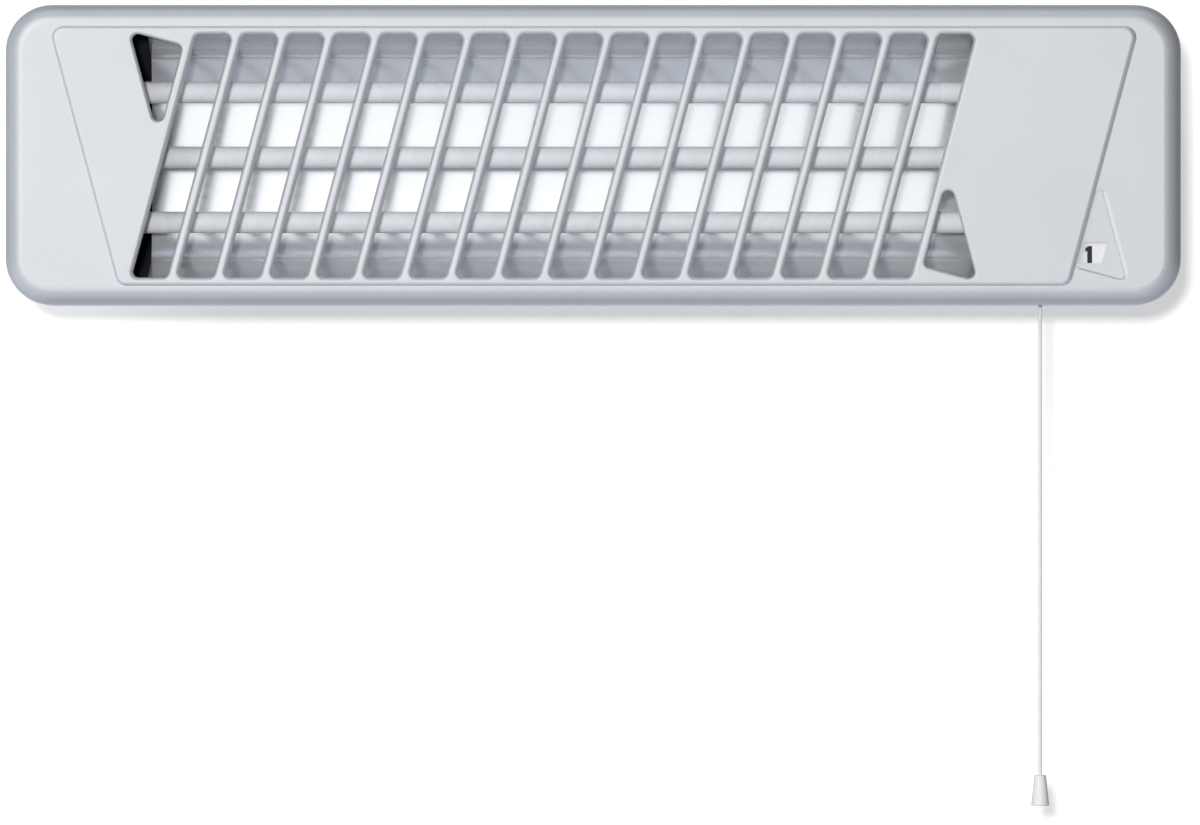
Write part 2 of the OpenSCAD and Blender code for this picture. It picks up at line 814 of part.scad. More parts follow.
// Places of the rivets that hold the end plates' and the supports' feet
module foot_rivets() {
    for (z = [-plate_rivet_z, plate_rivet_z]) {
        for (side = [-1, 1])
            translate([grille_x + side * (plate_half - plate_foot / 2), 0, z]) children();
        for (x = [-support_x, support_x], side = [-1, 1])
            translate([x + side * (support_w + support_foot) / 2, 0, z]) children();
    }
}

module rear_housing() {
    color("lightgray") difference() {
        housing_form(0, 0);
        housing_form(housing_t, cut);
        all_case_screws() rod_z(head_h / 2 - 2 * frame_t - housing_t, head_h / 2, case_screw_r);
        both_lug_rivets() rod_y(housing_in_y - cut, housing_back_y + cut, rivet_r + pin_gap);
        foot_rivets() rod_y(housing_in_y - cut, housing_back_y + cut, rivet_r + pin_gap);
        translate([grommet_x, 0, grommet_z])
            rod_y(housing_in_y - cut, housing_back_y + cut, grommet_hole_r + pin_gap);
        translate([earth_x, 0, earth_z])
            rod_y(housing_in_y - cut, housing_back_y + cut, earth_r + pin_gap);
    }
}

module housing_seal() {
    inner_r = corner_r - frame_t;
    w = head_w - 2 * frame_t - 2 * pin_gap;
    h = head_h - 2 * frame_t - 2 * pin_gap;
    color("black") plate(seal_y, rim_y) difference() {
        round_rect(w, h, inner_r - pin_gap);
        round_rect(w - 2 * seal_w, h - 2 * seal_w, inner_r - pin_gap - seal_w);
    }
}

module case_screws() {
    color("gray") all_case_screws() {
        rod_z(head_h / 2 - case_screw_l, head_h / 2 - case_screw_sink, case_screw_r - pin_gap);
        translate([0, 0, head_h / 2 - case_screw_sink - pin_gap])
            cylinder(h = case_screw_sink, r1 = case_screw_r - pin_gap, r2 = case_screw_head_r);
    }
}

module hinge_lugs() {
    foot_y = housing_back_y + lug_t;
    color("silver") difference() {
        both_lugs();
        both_lug_rivets() rod_y(housing_back_y - cut, foot_y + cut, rivet_r + pin_gap);
        translate([0, -pivot_d, 0])
            rod_x(-lug_out_x - cut, lug_out_x + cut, pivot_r + pin_gap);
    }
}

module both_lugs() {
    foot_y = housing_back_y + lug_t;
    for (side = [0, 1]) mirror([side, 0, 0]) {
        box([lug_in_x - lug_foot_w, housing_back_y, -lug_h / 2], [lug_out_x, foot_y, lug_h / 2]);
        side_plate(lug_in_x, lug_out_x) {
            polygon([[housing_back_y, -lug_h / 2], [-pivot_d, -lug_r], [-pivot_d, lug_r],
                [housing_back_y, lug_h / 2]]);
            translate([-pivot_d, 0]) circle(lug_r);
        }
    }
}

// A rivet through sheets from y0 back to y1, with a head on each side
module rivet(y0, y1) {
    rod_y(y0 - rivet_head_l, y1 + rivet_head_l, rivet_r);
    rod_y(y0 - rivet_head_l, y0, rivet_head_r);
    rod_y(y1, y1 + rivet_head_l, rivet_head_r);
}

module lug_rivets() {
    color("gray") both_lug_rivets() rivet(housing_in_y, housing_back_y + lug_t);
}

// Reflector and what carries it

// Upper half of the section: a nearly flat middle, a curved shoulder and a straight flange
function mirror_half_path() =
    let (edge_y = mirror_y - mirror_r * (1 - cos(flat_a)))
    concat([for (i = [0:flat_steps]) let (a = flat_a * i / flat_steps)
            [mirror_y - mirror_r * (1 - cos(a)), mirror_r * sin(a)]],
        [for (i = [1:shoulder_steps]) let (a = flat_a + (crease_a - flat_a) * i / shoulder_steps)
            [edge_y - shoulder_r * (cos(flat_a) - cos(a)),
                flat_half + shoulder_r * (sin(a) - sin(flat_a))]],
        [[mouth_y, mouth_half]]);

function mirror_path() =
    let (upper = mirror_half_path())
    concat([for (i = [len(upper) - 1:-1:1]) [upper[i][0], -upper[i][1]]], upper);

module reflector() {
    color("whitesmoke") translate([0, 0, grille_z])
        side_plate(mirror_x - mirror_l / 2, mirror_x + mirror_l / 2)
            polygon(sheet_outline(mirror_path(), -mirror_t));
}

module support(x) {
    front = mirror_y + mirror_t + mirror_touch_gap;
    translate([x, 0, grille_z - support_h / 2]) linear_extrude(support_h)
        for (side = [0, 1]) mirror([side, 0]) {
            translate([0, front]) square([support_w / 2, plate_t]);
            translate([support_w / 2 - plate_t, front]) square([plate_t, housing_in_y - front]);
            translate([support_w / 2 - plate_t, housing_in_y - plate_t])
                square([support_foot + plate_t, plate_t]);
        }
}

module reflector_supports() {
    color("gainsboro") difference() {
        for (x = [-support_x, support_x]) support(x);
        foot_rivets() rod_y(housing_in_y - plate_t - cut, housing_in_y + cut, rivet_r + pin_gap);
    }
}

module end_plate_outline() {
    mid_y = taper_y0;
    back_y = taper_y1;
    low_half = plate_wide_half - housing_taper;
    polygon([[plate_front_y, -plate_front_half], [plate_front_y, plate_front_half],
        [mid_y, plate_wide_half], [back_y, low_half], [housing_in_y, plate_back_half],
        [housing_in_y, -plate_back_half], [back_y, -low_half], [mid_y, -plate_wide_half]]);
}

// The end plate on the right, seen from the grille's middle
module end_plate() {
    difference() {
        union() {
            side_plate(plate_half - plate_t / 2, plate_half + plate_t / 2) end_plate_outline();
            box([plate_half - plate_foot, housing_in_y - plate_t, -plate_back_half],
                [plate_half, housing_in_y, plate_back_half]);
        }
        for (row = [-1:1]) translate([0, tube_y, row * tube_pitch])
            rod_x(plate_half - plate_t, plate_half + plate_t, cap_r + pin_gap);
        translate([0, lead_y, lead_z]) rod_x(plate_half - plate_t, plate_half + plate_t, lead_hole_r);
        for (z = [-plate_rivet_z, plate_rivet_z])
            translate([plate_half - plate_foot / 2, 0, z - grille_z])
                rod_y(housing_in_y - plate_t - cut, housing_in_y + cut, rivet_r + pin_gap);
    }
}

module left_end_plate() {
    color("gray") translate([grille_x, 0, grille_z]) mirror([1, 0, 0]) end_plate();
}

module right_end_plate() {
    color("gray") translate([grille_x, 0, grille_z]) end_plate();
}

module end_plate_rivets() {
    color("gray") foot_rivets() rivet(housing_in_y - plate_t, housing_back_y);
}

// Heating elements

module quartz_tube(row) {
    color("white") translate([grille_x, tube_y, tube_rows[row]]) difference() {
        rod_x(-tube_l / 2, tube_l / 2, tube_r);
        rod_x(-tube_l / 2 - cut, tube_l / 2 + cut, tube_r - tube_wall);
    }
}

module each_tube_end() {
    for (z = tube_rows, side = [0, 1])
        translate([grille_x, tube_y, z]) mirror([side, 0, 0]) translate([tube_l / 2, 0, 0])
            children();
}

module heating_coils() {
    half = tube_l / 2 - spigot_l - coil_short;
    color("darkorange") for (z = tube_rows) translate([grille_x, tube_y, z]) difference() {
        rod_x(-half, half, coil_r);
        rod_x(-half - cut, half + cut, coil_r - coil_wall);
    }
}

module ceramic_caps() {
    plate_in = plate_half - plate_t / 2 - tube_l / 2;
    color("white") each_tube_end() difference() {
        union() {
            rod_x(0, cap_l, cap_r);
            rod_x(-spigot_l, cut, spigot_r);
            rod_x(plate_in - collar_l, plate_in, collar_r);
        }
        rod_x(-spigot_l - cut, cap_l + cut, terminal_pin_r + pin_gap);
    }
}

module tube_clips() {
    plate_out = plate_half + plate_t / 2 - tube_l / 2;
    color("silver") each_tube_end() difference() {
        rod_x(plate_out, plate_out + tube_clip_t, cap_r + pin_gap + clip_wall);
        rod_x(plate_out - cut, plate_out + tube_clip_t + cut, cap_r + pin_gap);
        box([plate_out - cut, 0, -clip_mouth / 2], [plate_out + tube_clip_t + cut, collar_r * 2,
            clip_mouth / 2]);
    }
}

module element_terminals() {
    color("silver") each_tube_end() {
        rod_x(-spigot_l - coil_short, cap_l + terminal_out, terminal_pin_r);
        box([cap_l + terminal_out - cut, -tab_t / 2, -tab_w / 2],
            [cap_l + terminal_out + tab_l, tab_t / 2, tab_w / 2]);
    }
}

module thermal_cutout() {
    front = mirror_y + mirror_t + mirror_touch_gap;
    color("saddlebrown") translate([cutout_x, 0, grille_z]) {
        rod_y(front, front + cutout_l, cutout_r);
        for (side = [-1, 1]) translate([side * cutout_tab_x, 0, 0])
            box([-tab_t / 2, front + cutout_l - tab_t, -tab_w / 2],
                [tab_t / 2, front + cutout_l + cutout_tab_l, tab_w / 2]);
    }
}

// Supply side

module each_pole() {
    for (k = [-1:1]) translate([block_x + k * pole_pitch, housing_in_y - block_d, block_z])
        children();
}

module terminal_block() {
    color("ivory") difference() {
        box([block_x - block_w / 2, housing_in_y - block_d, block_z - block_h / 2],
            [block_x + block_w / 2, housing_in_y, block_z + block_h / 2]);
        each_pole() for (side = [-1, 1]) translate([0, 0, side * pole_z]) {
            rod_y(-cut, pole_bore_d, pole_bore_r);
            translate([0, block_d / 2, -block_h]) rod_z(0, 2 * block_h, wire_port_r);
        }
    }
}

module terminal_screws() {
    color("gold") each_pole() for (side = [-1, 1]) translate([0, 0, side * pole_z])
        rod_y(pole_bore_d - pole_screw_l, pole_bore_d, pole_bore_r - pin_gap);
}

module cable_grommet() {
    color("black") translate([grommet_x, 0, grommet_z]) difference() {
        union() {
            rod_y(housing_in_y - grommet_lip, housing_back_y + grommet_lip, grommet_hole_r);
            for (y = [housing_in_y - grommet_lip, housing_back_y])
                rod_y(y, y + grommet_lip, grommet_hole_r + grommet_lip);
        }
        rod_y(housing_in_y - grommet_lip - cut, housing_back_y + grommet_lip + cut, grommet_bore_r);
    }
}

module earth_screw() {
    color("gold") translate([earth_x, 0, earth_z]) {
        rod_y(housing_in_y - earth_l, housing_back_y + earth_head_l, earth_r);
        rod_y(housing_back_y, housing_back_y + earth_head_l, earth_head_r);
        rod_y(housing_in_y - earth_head_l, housing_in_y, earth_head_r);
    }
}

// The outer end of a tube's terminal, on the left (-1) or on the right (1)
function terminal_tip(row, side) = [grille_x + side * (tube_l / 2 + cap_l + terminal_out + tab_l),
    tube_y, tube_rows[row]];
function spade_foot(k) = [shaft_x + (k - (spade_count - 1) / 2) * spade_pitch,
    spade_y, dial_z + switch_w / 2];
function spade_tip(k) = spade_foot(k) + [0, 0, spade_l];
function cutout_tip(side) = [cutout_x + side * cutout_tab_x,
    mirror_y + mirror_t + mirror_touch_gap + cutout_l + cutout_tab_l, grille_z];
function port(k) = [block_x + k * pole_pitch, housing_in_y - block_d / 2, block_z + block_h / 2];

// A lead from one end to the other that leaves each end straight
module lead(from, from_dir, middle, to, to_dir) {
    wire(smooth(concat([for (s = [0, 1, 2]) from + s * lead_start / 2 * from_dir], middle,
        [for (s = [2, 1, 0]) to + s * lead_start / 2 * to_dir]), route_steps), lead_r);
}

module jumper(row) {
    low = [0, 0, lead_side];
    from = terminal_tip(row, -1) - low;
    to = terminal_tip(row + 1, -1) + low;
    lead(from, [-1, 0, 0], [(from + to) / 2 - [jumper_reach, 0, 0]], to, [-1, 0, 0]);
}

module internal_leads() {
    up = [0, 0, 1];
    right = [1, 0, 0];
    back = [0, 1, 0];
    low = [0, 0, lead_side];
    sunk = [0, 0, port_depth];
    color("firebrick") {
        jumper(0);
        jumper(1);
        lead(terminal_tip(2, -1) - low, -right, left_to_cutout, cutout_tip(-1), back);
        lead(cutout_tip(1), back, cutout_to_block, port(-1) - sunk, 2 * up);
        lead(terminal_tip(0, 1), right, top_to_switch, spade_tip(0), up);
        lead(terminal_tip(1, 1), right, middle_to_switch, spade_tip(1), up);
        lead(terminal_tip(2, 1), right, bottom_to_switch, spade_tip(2), up);
        lead(spade_tip(3), up, switch_to_block, port(0) - sunk, 2 * up);
        lead(port(1) - sunk, 2 * up, block_to_earth,
            [earth_x, housing_in_y - earth_l, earth_z], -back);
    }
}

// Pull switch

module switch_frame() {
    translate([shaft_x, 0, dial_z]) children();
}

module switch_body() {
    color("dimgray") difference() {
        union() {
            switch_frame() box([-switch_w / 2, switch_y, -switch_w / 2],
                [switch_w / 2, switch_back_y, switch_w / 2]);
            both_bosses() rod_y(switch_y, switch_y + ear_plate_t, switch_ear_r);
            for (a = [boss_right_a, boss_left_a]) switch_frame() rotate([0, -a, 0])
                box([0, switch_y, -switch_arm_h / 2],
                    [boss_reach, switch_y + ear_plate_t, switch_arm_h / 2]);
        }
        switch_frame() {
            rod_y(switch_y - cut, switch_back_y + cut, shaft_r + pin_gap);
            rod_y(switch_y + switch_wall, switch_back_y - switch_wall, switch_w / 2 - switch_wall);
        }
        both_bosses() rod_y(switch_y - cut, switch_y + ear_plate_t + cut, boss_pilot_r + pin_gap);
    }
}

module switch_screws() {
    head_y = switch_y + ear_plate_t;
    color("gray") both_bosses() {
        rod_y(switch_y - boss_r + cut, head_y, boss_pilot_r - pin_gap);
        rod_y(head_y, head_y + screw_head_l, screw_head_r);
    }
}

module switch_terminals() {
    color("gold") for (k = [0:spade_count - 1]) translate(spade_foot(k))
        box([-spade_w / 2, -spade_t / 2, 0], [spade_w / 2, spade_t / 2, spade_l]);
}

module switch_shaft() {
    color("silver") switch_frame() rod_y(dial_y + dial_t / 2, lever_y + lever_t + clip_gap
        + shaft_clip_t + shaft_end, shaft_r);
}

module contact_rotor() {
    y0 = switch_y + switch_wall + rotor_gap;
    y1 = switch_back_y - switch_wall - rotor_gap;
    color("tan") switch_frame() difference() {
        union() {
            rod_y(y0, y1, rotor_r * rotor_lobe_share);
            for (a = [0, quarter]) rotate([0, a, 0])
                intersection() {
                    rod_y(y0, y1, rotor_r);
                    box([-rotor_r, y0, -shaft_r], [rotor_r, y1, shaft_r]);
                }
        }
        rod_y(y0 - cut, y1 + cut, shaft_r);
    }
}

module ratchet_wheel() {
    color("tan") switch_frame() difference() {
        plate(ratchet_y, ratchet_y + ratchet_t) polygon([for (k = [0:ratchet_teeth - 1])
            let (a = full_turn * k / ratchet_teeth)
            each [ratchet_r * [cos(a), sin(a)], (ratchet_r - tooth_d) * [cos(a), sin(a)]]]);
        rod_y(ratchet_y - cut, ratchet_y + ratchet_t + cut, shaft_r);
    }
}

module shaft_clip() {
    clip_y = lever_y + lever_t + clip_gap;
    color("gray") switch_frame() difference() {
        rod_y(clip_y, clip_y + shaft_clip_t, shaft_clip_r);
        rod_y(clip_y - cut, clip_y + shaft_clip_t + cut, shaft_r);
        box([-shaft_r / 2, clip_y - cut, 0], [shaft_r / 2, clip_y + shaft_clip_t + cut, hub_r]);
    }
}

module indicator_dial() {
    color("white") switch_frame() difference() {
        rod_y(dial_y, dial_y + dial_t, dial_r);
        rod_y(dial_y + dial_t / 2, dial_y + dial_t + cut, shaft_r);
    }
}

// Points on an arc around [0, z]
function arc(r, z, from, to) =
    [for (i = [0:digit_steps]) let (a = from + (to - from) * i / digit_steps)
        [r * cos(a), z + r * sin(a)]];

module digit_outline(value) {
    h = digit_h / 2;
    s = digit_stroke;
    r = (digit_h + s) / 4;
    z = h - r;
    waist_a = asin(z / r);
    if (value == 0) difference() {
        round_rect(2 * r, digit_h, s);
        round_rect(2 * (r - s), digit_h - 2 * s, s / 4);
    }
    if (value == 1) polygon([[s / 2, -h], [s / 2, h], [-s / 4, h], [-s, h - s / 2],
        [-s, h - s * flag_drop], [-s / 2, h - s], [-s / 2, -h]]);
    if (value == 2) polygon(concat(arc(r, z, half_turn, -bend_a),
        [[2 * s - r, s - h], [r, s - h], [r, -h], [-r, -h], [-r, s - h]],
        arc(r - s, z, -bend_a, half_turn)));
    if (value == 3) polygon(concat(arc(r, z, three_a, -waist_a), arc(r, -z, waist_a, -three_a),
        arc(r - s, -z, -three_a, quarter), arc(r - s, z, -quarter, three_a)));
}

module dial_digits() {
    color("black") switch_frame() plate(dial_y - digit_t, dial_y) for (value = [0:3])
        rotate(quarter * (value - 1)) translate([0, -digit_ring_r]) digit_outline(value);
}

module lever_frame() {
    translate([shaft_x, 0, dial_z]) rotate([0, arm_rise, 0]) children();
}

module switch_lever() {
    color("silver") lever_frame() difference() {
        union() {
            rod_y(lever_y, lever_y + lever_t, hub_r);
            box([-arm_r, lever_y, -arm_w / 2], [0, lever_y + lever_t, arm_w / 2]);
            box([-arm_r - eye_w / 2, cord_y - eye_w / 2, -eye_t / 2],
                [-arm_r + eye_w / 2, cord_y + eye_w / 2, eye_t / 2]);
        }
        rod_y(lever_y - cut, lever_y + lever_t + cut, shaft_r + pin_gap);
        translate([-arm_r, cord_y, 0]) rod_z(-arm_w, arm_w, eye_r);
    }
}

module drive_pawl() {
    color("gray") lever_frame()
        box([-ratchet_r - pawl_gap - pawl_w, ratchet_y, -pawl_h / 2],
            [-ratchet_r - pawl_gap, lever_y, pawl_h / 2]);
}

// Cord

module cord_line() {
    translate([cord_x, cord_y, 0]) children();
}

module cord_bush() {
    wall_in = -head_bottom + frame_t;
    color("white") cord_line() difference() {
        union() {
            rod_z(-head_bottom, wall_in + cut, bush_r);
            rod_z(wall_in, wall_in + bush_flange_t, bush_flange_r);
            rod_z(wall_in, wall_in + bush_flange_t + bush_neck, bush_r);
        }
        rod_z(-head_bottom - cut, wall_in + bush_flange_t + bush_neck + cut, bush_bore_r);
    }
}

module return_spring() {
    rise = collar_z - spring_seat_z - 2 * spring_wire_r;
    steps = spring_turns * spring_steps;
    color("silver") cord_line() wire([for (i = [0:steps])
        [spring_r * cos(full_turn * i / spring_steps), spring_r * sin(full_turn * i / spring_steps),
            spring_seat_z + spring_wire_r + rise * i / steps]], spring_wire_r, spring_sides);
}

module cord_ferrule() {
    color("gold") cord_line() difference() {
        rod_z(ferrule_z, ferrule_z + ferrule_l, ferrule_r);
        rod_z(ferrule_z - cut, ferrule_z + ferrule_l + cut, cord_r);
    }
}

module pull_cord_inner() {
    color("white") cord_line() rod_z(-head_bottom, ferrule_z + ferrule_l, cord_r);
}

module spring_collar() {
    color("gold") cord_line() difference() {
        rod_z(collar_z, collar_z + spring_collar_l, spring_collar_r);
        rod_z(collar_z - cut, collar_z + spring_collar_l + cut, cord_r);
    }
}

module pull_cord() {
    color("white") wire(smooth(cord_route, route_steps), cord_r);
}

module cord_knot() {
    color("white") cord_line() difference() {
        translate([0, 0, knot_z]) sphere(knot_r);
        rod_z(knot_z - knot_r - cut, knot_z + knot_r + cut, cord_r);
    }
}

module pull_knob() {
    color("whitesmoke") cord_line() translate([0, 0, knob_top_z - knob_h]) difference() {
        cylinder(h = knob_h, r1 = knob_foot_r, r2 = knob_top_r);
        rod_z(-cut, knob_h + cut, knob_bore_r);
        rod_z(-cut, knob_hollow_d, knob_hollow_r);
    }
}

wall_bracket();
pivot_bolts();
pivot_washers();
pivot_nuts();
front_frame();
grille_panel();
panel_clips();
rear_housing();
housing_seal();
case_screws();
hinge_lugs();
lug_rivets();
reflector();
reflector_supports();
left_end_plate();
right_end_plate();
end_plate_rivets();
quartz_tube(0);  // quartz_tube_top
quartz_tube(1);  // quartz_tube_middle
quartz_tube(2);  // quartz_tube_bottom
heating_coils();
ceramic_caps();
tube_clips();
element_terminals();
thermal_cutout();
terminal_block();
terminal_screws();
cable_grommet();
earth_screw();
internal_leads();
window_lens();
switch_body();
switch_screws();
switch_terminals();
cord_bush();
return_spring();
switch_lever();
drive_pawl();
indicator_dial();
dial_digits();
switch_shaft();
contact_rotor();
ratchet_wheel();
shaft_clip();
cord_ferrule();
pull_cord_inner();
spring_collar();
pull_cord();
cord_knot();
pull_knob();
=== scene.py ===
"""Looks of a wall-mounted quartz heater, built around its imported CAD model.

Lengths in the tables are millimetres in the CAD's own frame: +X to the right, +Y into the wall
and +Z up.
"""

import json
import math

import bmesh
import bpy
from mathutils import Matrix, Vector


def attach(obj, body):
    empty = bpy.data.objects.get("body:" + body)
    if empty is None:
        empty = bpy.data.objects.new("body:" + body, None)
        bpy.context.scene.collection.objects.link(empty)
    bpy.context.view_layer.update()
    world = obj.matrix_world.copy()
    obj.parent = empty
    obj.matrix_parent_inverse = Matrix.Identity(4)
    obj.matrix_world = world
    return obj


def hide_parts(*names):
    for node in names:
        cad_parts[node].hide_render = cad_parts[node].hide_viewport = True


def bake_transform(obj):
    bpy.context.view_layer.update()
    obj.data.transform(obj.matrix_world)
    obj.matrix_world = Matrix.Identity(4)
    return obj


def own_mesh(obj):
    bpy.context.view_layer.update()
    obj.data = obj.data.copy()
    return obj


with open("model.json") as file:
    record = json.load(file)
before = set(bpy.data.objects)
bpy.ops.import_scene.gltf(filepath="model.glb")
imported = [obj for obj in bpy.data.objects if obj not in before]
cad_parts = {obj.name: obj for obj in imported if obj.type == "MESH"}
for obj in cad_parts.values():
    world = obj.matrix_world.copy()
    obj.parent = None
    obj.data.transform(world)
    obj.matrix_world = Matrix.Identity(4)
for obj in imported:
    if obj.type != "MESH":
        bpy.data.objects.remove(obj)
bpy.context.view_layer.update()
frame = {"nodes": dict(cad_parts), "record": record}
NODES = frame["nodes"]
MM = 0.001

# Measures of the CAD: the head's size and foot, the depths of its faces and the grille's middle
HEAD_W, HEAD_H = 456, 116.5
HEAD_BOTTOM = -58.25
PANEL_Y, FRAME_FACE_Y = -125.0, -124.0
PLATE_BACK_Y, BAR_BACK_Y = -122.8, -119.5
GRILLE_X, GRILLE_Z = -15.5, -0.5
SLANT = math.radians(15)
TAN_SLANT = math.tan(SLANT)
QUARTER = math.pi / 2


def metres(x, y, z):
    return Vector((x * MM, y * MM, z * MM))


# ---------------------------------------------------------------- camera

IMAGE_W = 1200
PIXELS_PER_MM = 2.582
CAMERA_D = 4250.0
CAMERA_X, CAMERA_Z = 2.6, -99.9
SENSOR_W = 36.0
camera_data = bpy.data.cameras.new("camera")
camera_data.sensor_fit = "HORIZONTAL"
camera_data.sensor_width = SENSOR_W
camera_data.lens = SENSOR_W * CAMERA_D / (IMAGE_W / PIXELS_PER_MM)
camera_data.clip_end = 60.0
camera = bpy.data.objects.new("camera", camera_data)
bpy.context.scene.collection.objects.link(camera)
camera.location = metres(CAMERA_X, PANEL_Y - CAMERA_D, CAMERA_Z)
camera.rotation_euler = (QUARTER, 0, 0)
bpy.context.scene.camera = camera

# ---------------------------------------------------------------- node materials

DRIFT_MM, DRIFT_DARK = 60.0, (0.965, 0.965, 0.965)
WHITE = (1.0, 1.0, 1.0)


def feed(tree, value, socket):
    """Links a socket into another one, or sets the other one's number or colour."""
    if isinstance(value, bpy.types.NodeSocket):
        tree.links.new(value, socket)
    elif isinstance(value, tuple):
        socket.default_value = (*value, 1)
    else:
        socket.default_value = value


def map_range(tree, value, ins, outs, kind="LINEAR"):
    """Goes from one end of outs to the other as value goes from one end of ins to the other."""
    node = tree.nodes.new("ShaderNodeMapRange")
    node.interpolation_type = kind
    for key, number in zip(("From Min", "From Max", "To Min", "To Max"), (*ins, *outs)):
        node.inputs[key].default_value = number
    tree.links.new(value, node.inputs["Value"])
    return node.outputs["Result"]


def mix_shader(tree, factor, a, b):
    node = tree.nodes.new("ShaderNodeMixShader")
    for key, value in enumerate((factor, a, b)):
        feed(tree, value, node.inputs[key])
    return node.outputs[0]


class Surface:
    """A Principled material and short calls that add its detail."""

    def __init__(self, name, color, metallic=0.0, rough=0.5, **sockets):
        self.mat = bpy.data.materials.new(name)
        self.mat.use_nodes = True
        self.tree = self.mat.node_tree
        self.nodes, self.links = self.tree.nodes, self.tree.links
        self.shader = self.nodes["Principled BSDF"]
        self.shader.inputs["Base Color"].default_value = (*color, 1)
        self.shader.inputs["Metallic"].default_value = metallic
        self.shader.inputs["Roughness"].default_value = rough
        for key, value in sockets.items():
            self.shader.inputs[key.replace("_", " ")].default_value = value
        self.coord = self.nodes.new("ShaderNodeTexCoord").outputs["Object"]

    def noise(self, size_mm, stretch=(1, 1, 1), detail=2.0):
        """Noise whose lumps are about size_mm across, drawn out along an axis by stretch."""
        node = self.nodes.new("ShaderNodeTexNoise")
        node.inputs["Scale"].default_value = 1.0
        node.inputs["Detail"].default_value = detail
        node.inputs["Roughness"].default_value = 0.5
        per_metre = 1.0 / (size_mm * MM)
        mapped = self.nodes.new("ShaderNodeMapping")
        mapped.inputs["Scale"].default_value = tuple(per_metre / s for s in stretch)
        self.links.new(self.coord, mapped.inputs["Vector"])
        self.links.new(mapped.outputs["Vector"], node.inputs["Vector"])
        return node.outputs["Fac"]

    def ramp(self, value, stops):
        """Colours from (place, colour) stops."""
        node = self.nodes.new("ShaderNodeValToRGB")
        line = node.color_ramp
        while len(line.elements) < len(stops):
            line.elements.new(0.5)
        for element, (place, color) in zip(line.elements, stops):
            element.position = place
            element.color = (*color, 1)
        self.links.new(value, node.inputs["Fac"])
        return node.outputs["Color"]

    def mix(self, factor, a, b, blend="MIX"):
        """Mixes colours a and b, each a colour or a socket."""
        node = self.nodes.new("ShaderNodeMix")
        node.data_type = "RGBA"
        node.blend_type = blend
        for key, value in ((0, factor), (6, a), (7, b)):
            feed(self.tree, value, node.inputs[key])
        return node.outputs[2]

    def color_from(self, socket):
        self.links.new(socket, self.shader.inputs["Base Color"])
        return self

    def rough_from(self, noise, rough):
        """Roughness between the two numbers of rough, as the noise goes from low to high."""
        ranged = map_range(self.tree, noise, (0.3, 0.7), rough)
        self.links.new(ranged, self.shader.inputs["Roughness"])
        return self

    def bump(self, socket, height_mm):
        node = self.nodes.new("ShaderNodeBump")
        node.inputs["Strength"].default_value = 1.0
        node.inputs["Distance"].default_value = height_mm * MM
        self.links.new(socket, node.inputs["Height"])
        self.links.new(node.outputs["Normal"], self.shader.inputs["Normal"])
        return self

    def speckled(self, dark, light, size_mm, rough, bump_mm, stretch=(1, 1, 1)):
        """The usual finish: fine colour and roughness variation, a slow drift and a small bump."""
        fine = self.noise(size_mm, stretch)
        slow = self.noise(DRIFT_MM, detail=3.0)
        base = self.ramp(fine, [(0.3, dark), (0.7, light)])
        drift = self.ramp(slow, [(0.3, DRIFT_DARK), (0.7, WHITE)])
        self.color_from(self.mix(1.0, base, drift, "MULTIPLY"))
        self.rough_from(fine, rough)
        return self.bump(fine, bump_mm)


def shade(color, factor):
    return tuple(c * factor for c in color)


def silver_material():
    """Satin paint with fine metal flakes."""
    color = (0.82, 0.828, 0.84)
    made = Surface("silver_paint", color, 0.6, 0.45, Specular_IOR_Level=0.35)
    return made.speckled(shade(color, 0.95), shade(color, 1.04), 0.5, (0.36, 0.44), 0.004).mat


def metal(name, color, rough, size_mm, stretch):
    made = Surface(name, color, 1.0, 0.3)
    return made.speckled(shade(color, 0.86), color, size_mm, rough, 0.004, stretch).mat


def plastic(name, color, rough, size_mm, bump_mm, **sockets):
    made = Surface(name, color, 0.0, 0.4, **sockets)
    return made.speckled(shade(color, 0.93), color, size_mm, rough, bump_mm).mat


def housing_material():
    """Grey paint on the tray's outside; its inside, whose faces look forward, is coloured
    near-black as painted shade for the dark inside of the head.
    """
    made = Surface("housing_paint_and_inner_shade", (0.66, 0.67, 0.69), 0.3, 0.45, Specular_IOR_Level=0.35)
    made.speckled((0.627, 0.637, 0.656), (0.686, 0.697, 0.718), 0.8, (0.42, 0.55), 0.008)
    grey = made.shader.inputs["Base Color"].links[0].from_socket
    coord = made.nodes.new("ShaderNodeTexCoord")
    parts = made.nodes.new("ShaderNodeSeparateXYZ")
    made.links.new(coord.outputs["Normal"], parts.inputs[0])
    # painted shade: faces that look forward (the tray's inside) get a near-black colour in place of
    # the shade inside the head
    outside = map_range(made.tree, parts.outputs["Y"], (-0.35, -0.15), (0.0, 1.0))
    made.color_from(made.mix(outside, (0.04, 0.042, 0.05), grey))
    return made.mat


silver_paint = silver_material()
housing_paint_and_inner_shade = housing_material()
bracket_steel = metal("bracket_steel", (0.58, 0.585, 0.60), (0.32, 0.46), 0.5, (14, 1, 1))
fixing_steel = metal("fixing_steel", (0.55, 0.55, 0.57), (0.22, 0.36), 0.4, (3, 3, 1))
mirror_sheet = Surface("mirror_sheet", (0.90, 0.91, 0.925), 0.65, 0.2).speckled(
    (0.87, 0.88, 0.895), (0.90, 0.91, 0.925), 1.6, (0.12, 0.16), 0.0001, (30, 1, 1)).mat
dark_steel = metal("dark_steel", (0.035, 0.036, 0.04), (0.5, 0.65), 2.0, (1, 1, 4))
coil_steel = metal("coil_steel", (0.30, 0.28, 0.27), (0.5, 0.65), 0.3, (1, 1, 1))
brass = metal("brass", (0.78, 0.60, 0.30), (0.25, 0.4), 0.4, (2, 2, 1))
quartz = plastic("quartz", (0.86, 0.875, 0.905), (0.34, 0.44), 2.5, 0.002)
ceramic = plastic("ceramic", (0.92, 0.93, 0.95), (0.55, 0.7), 0.5, 0.01)
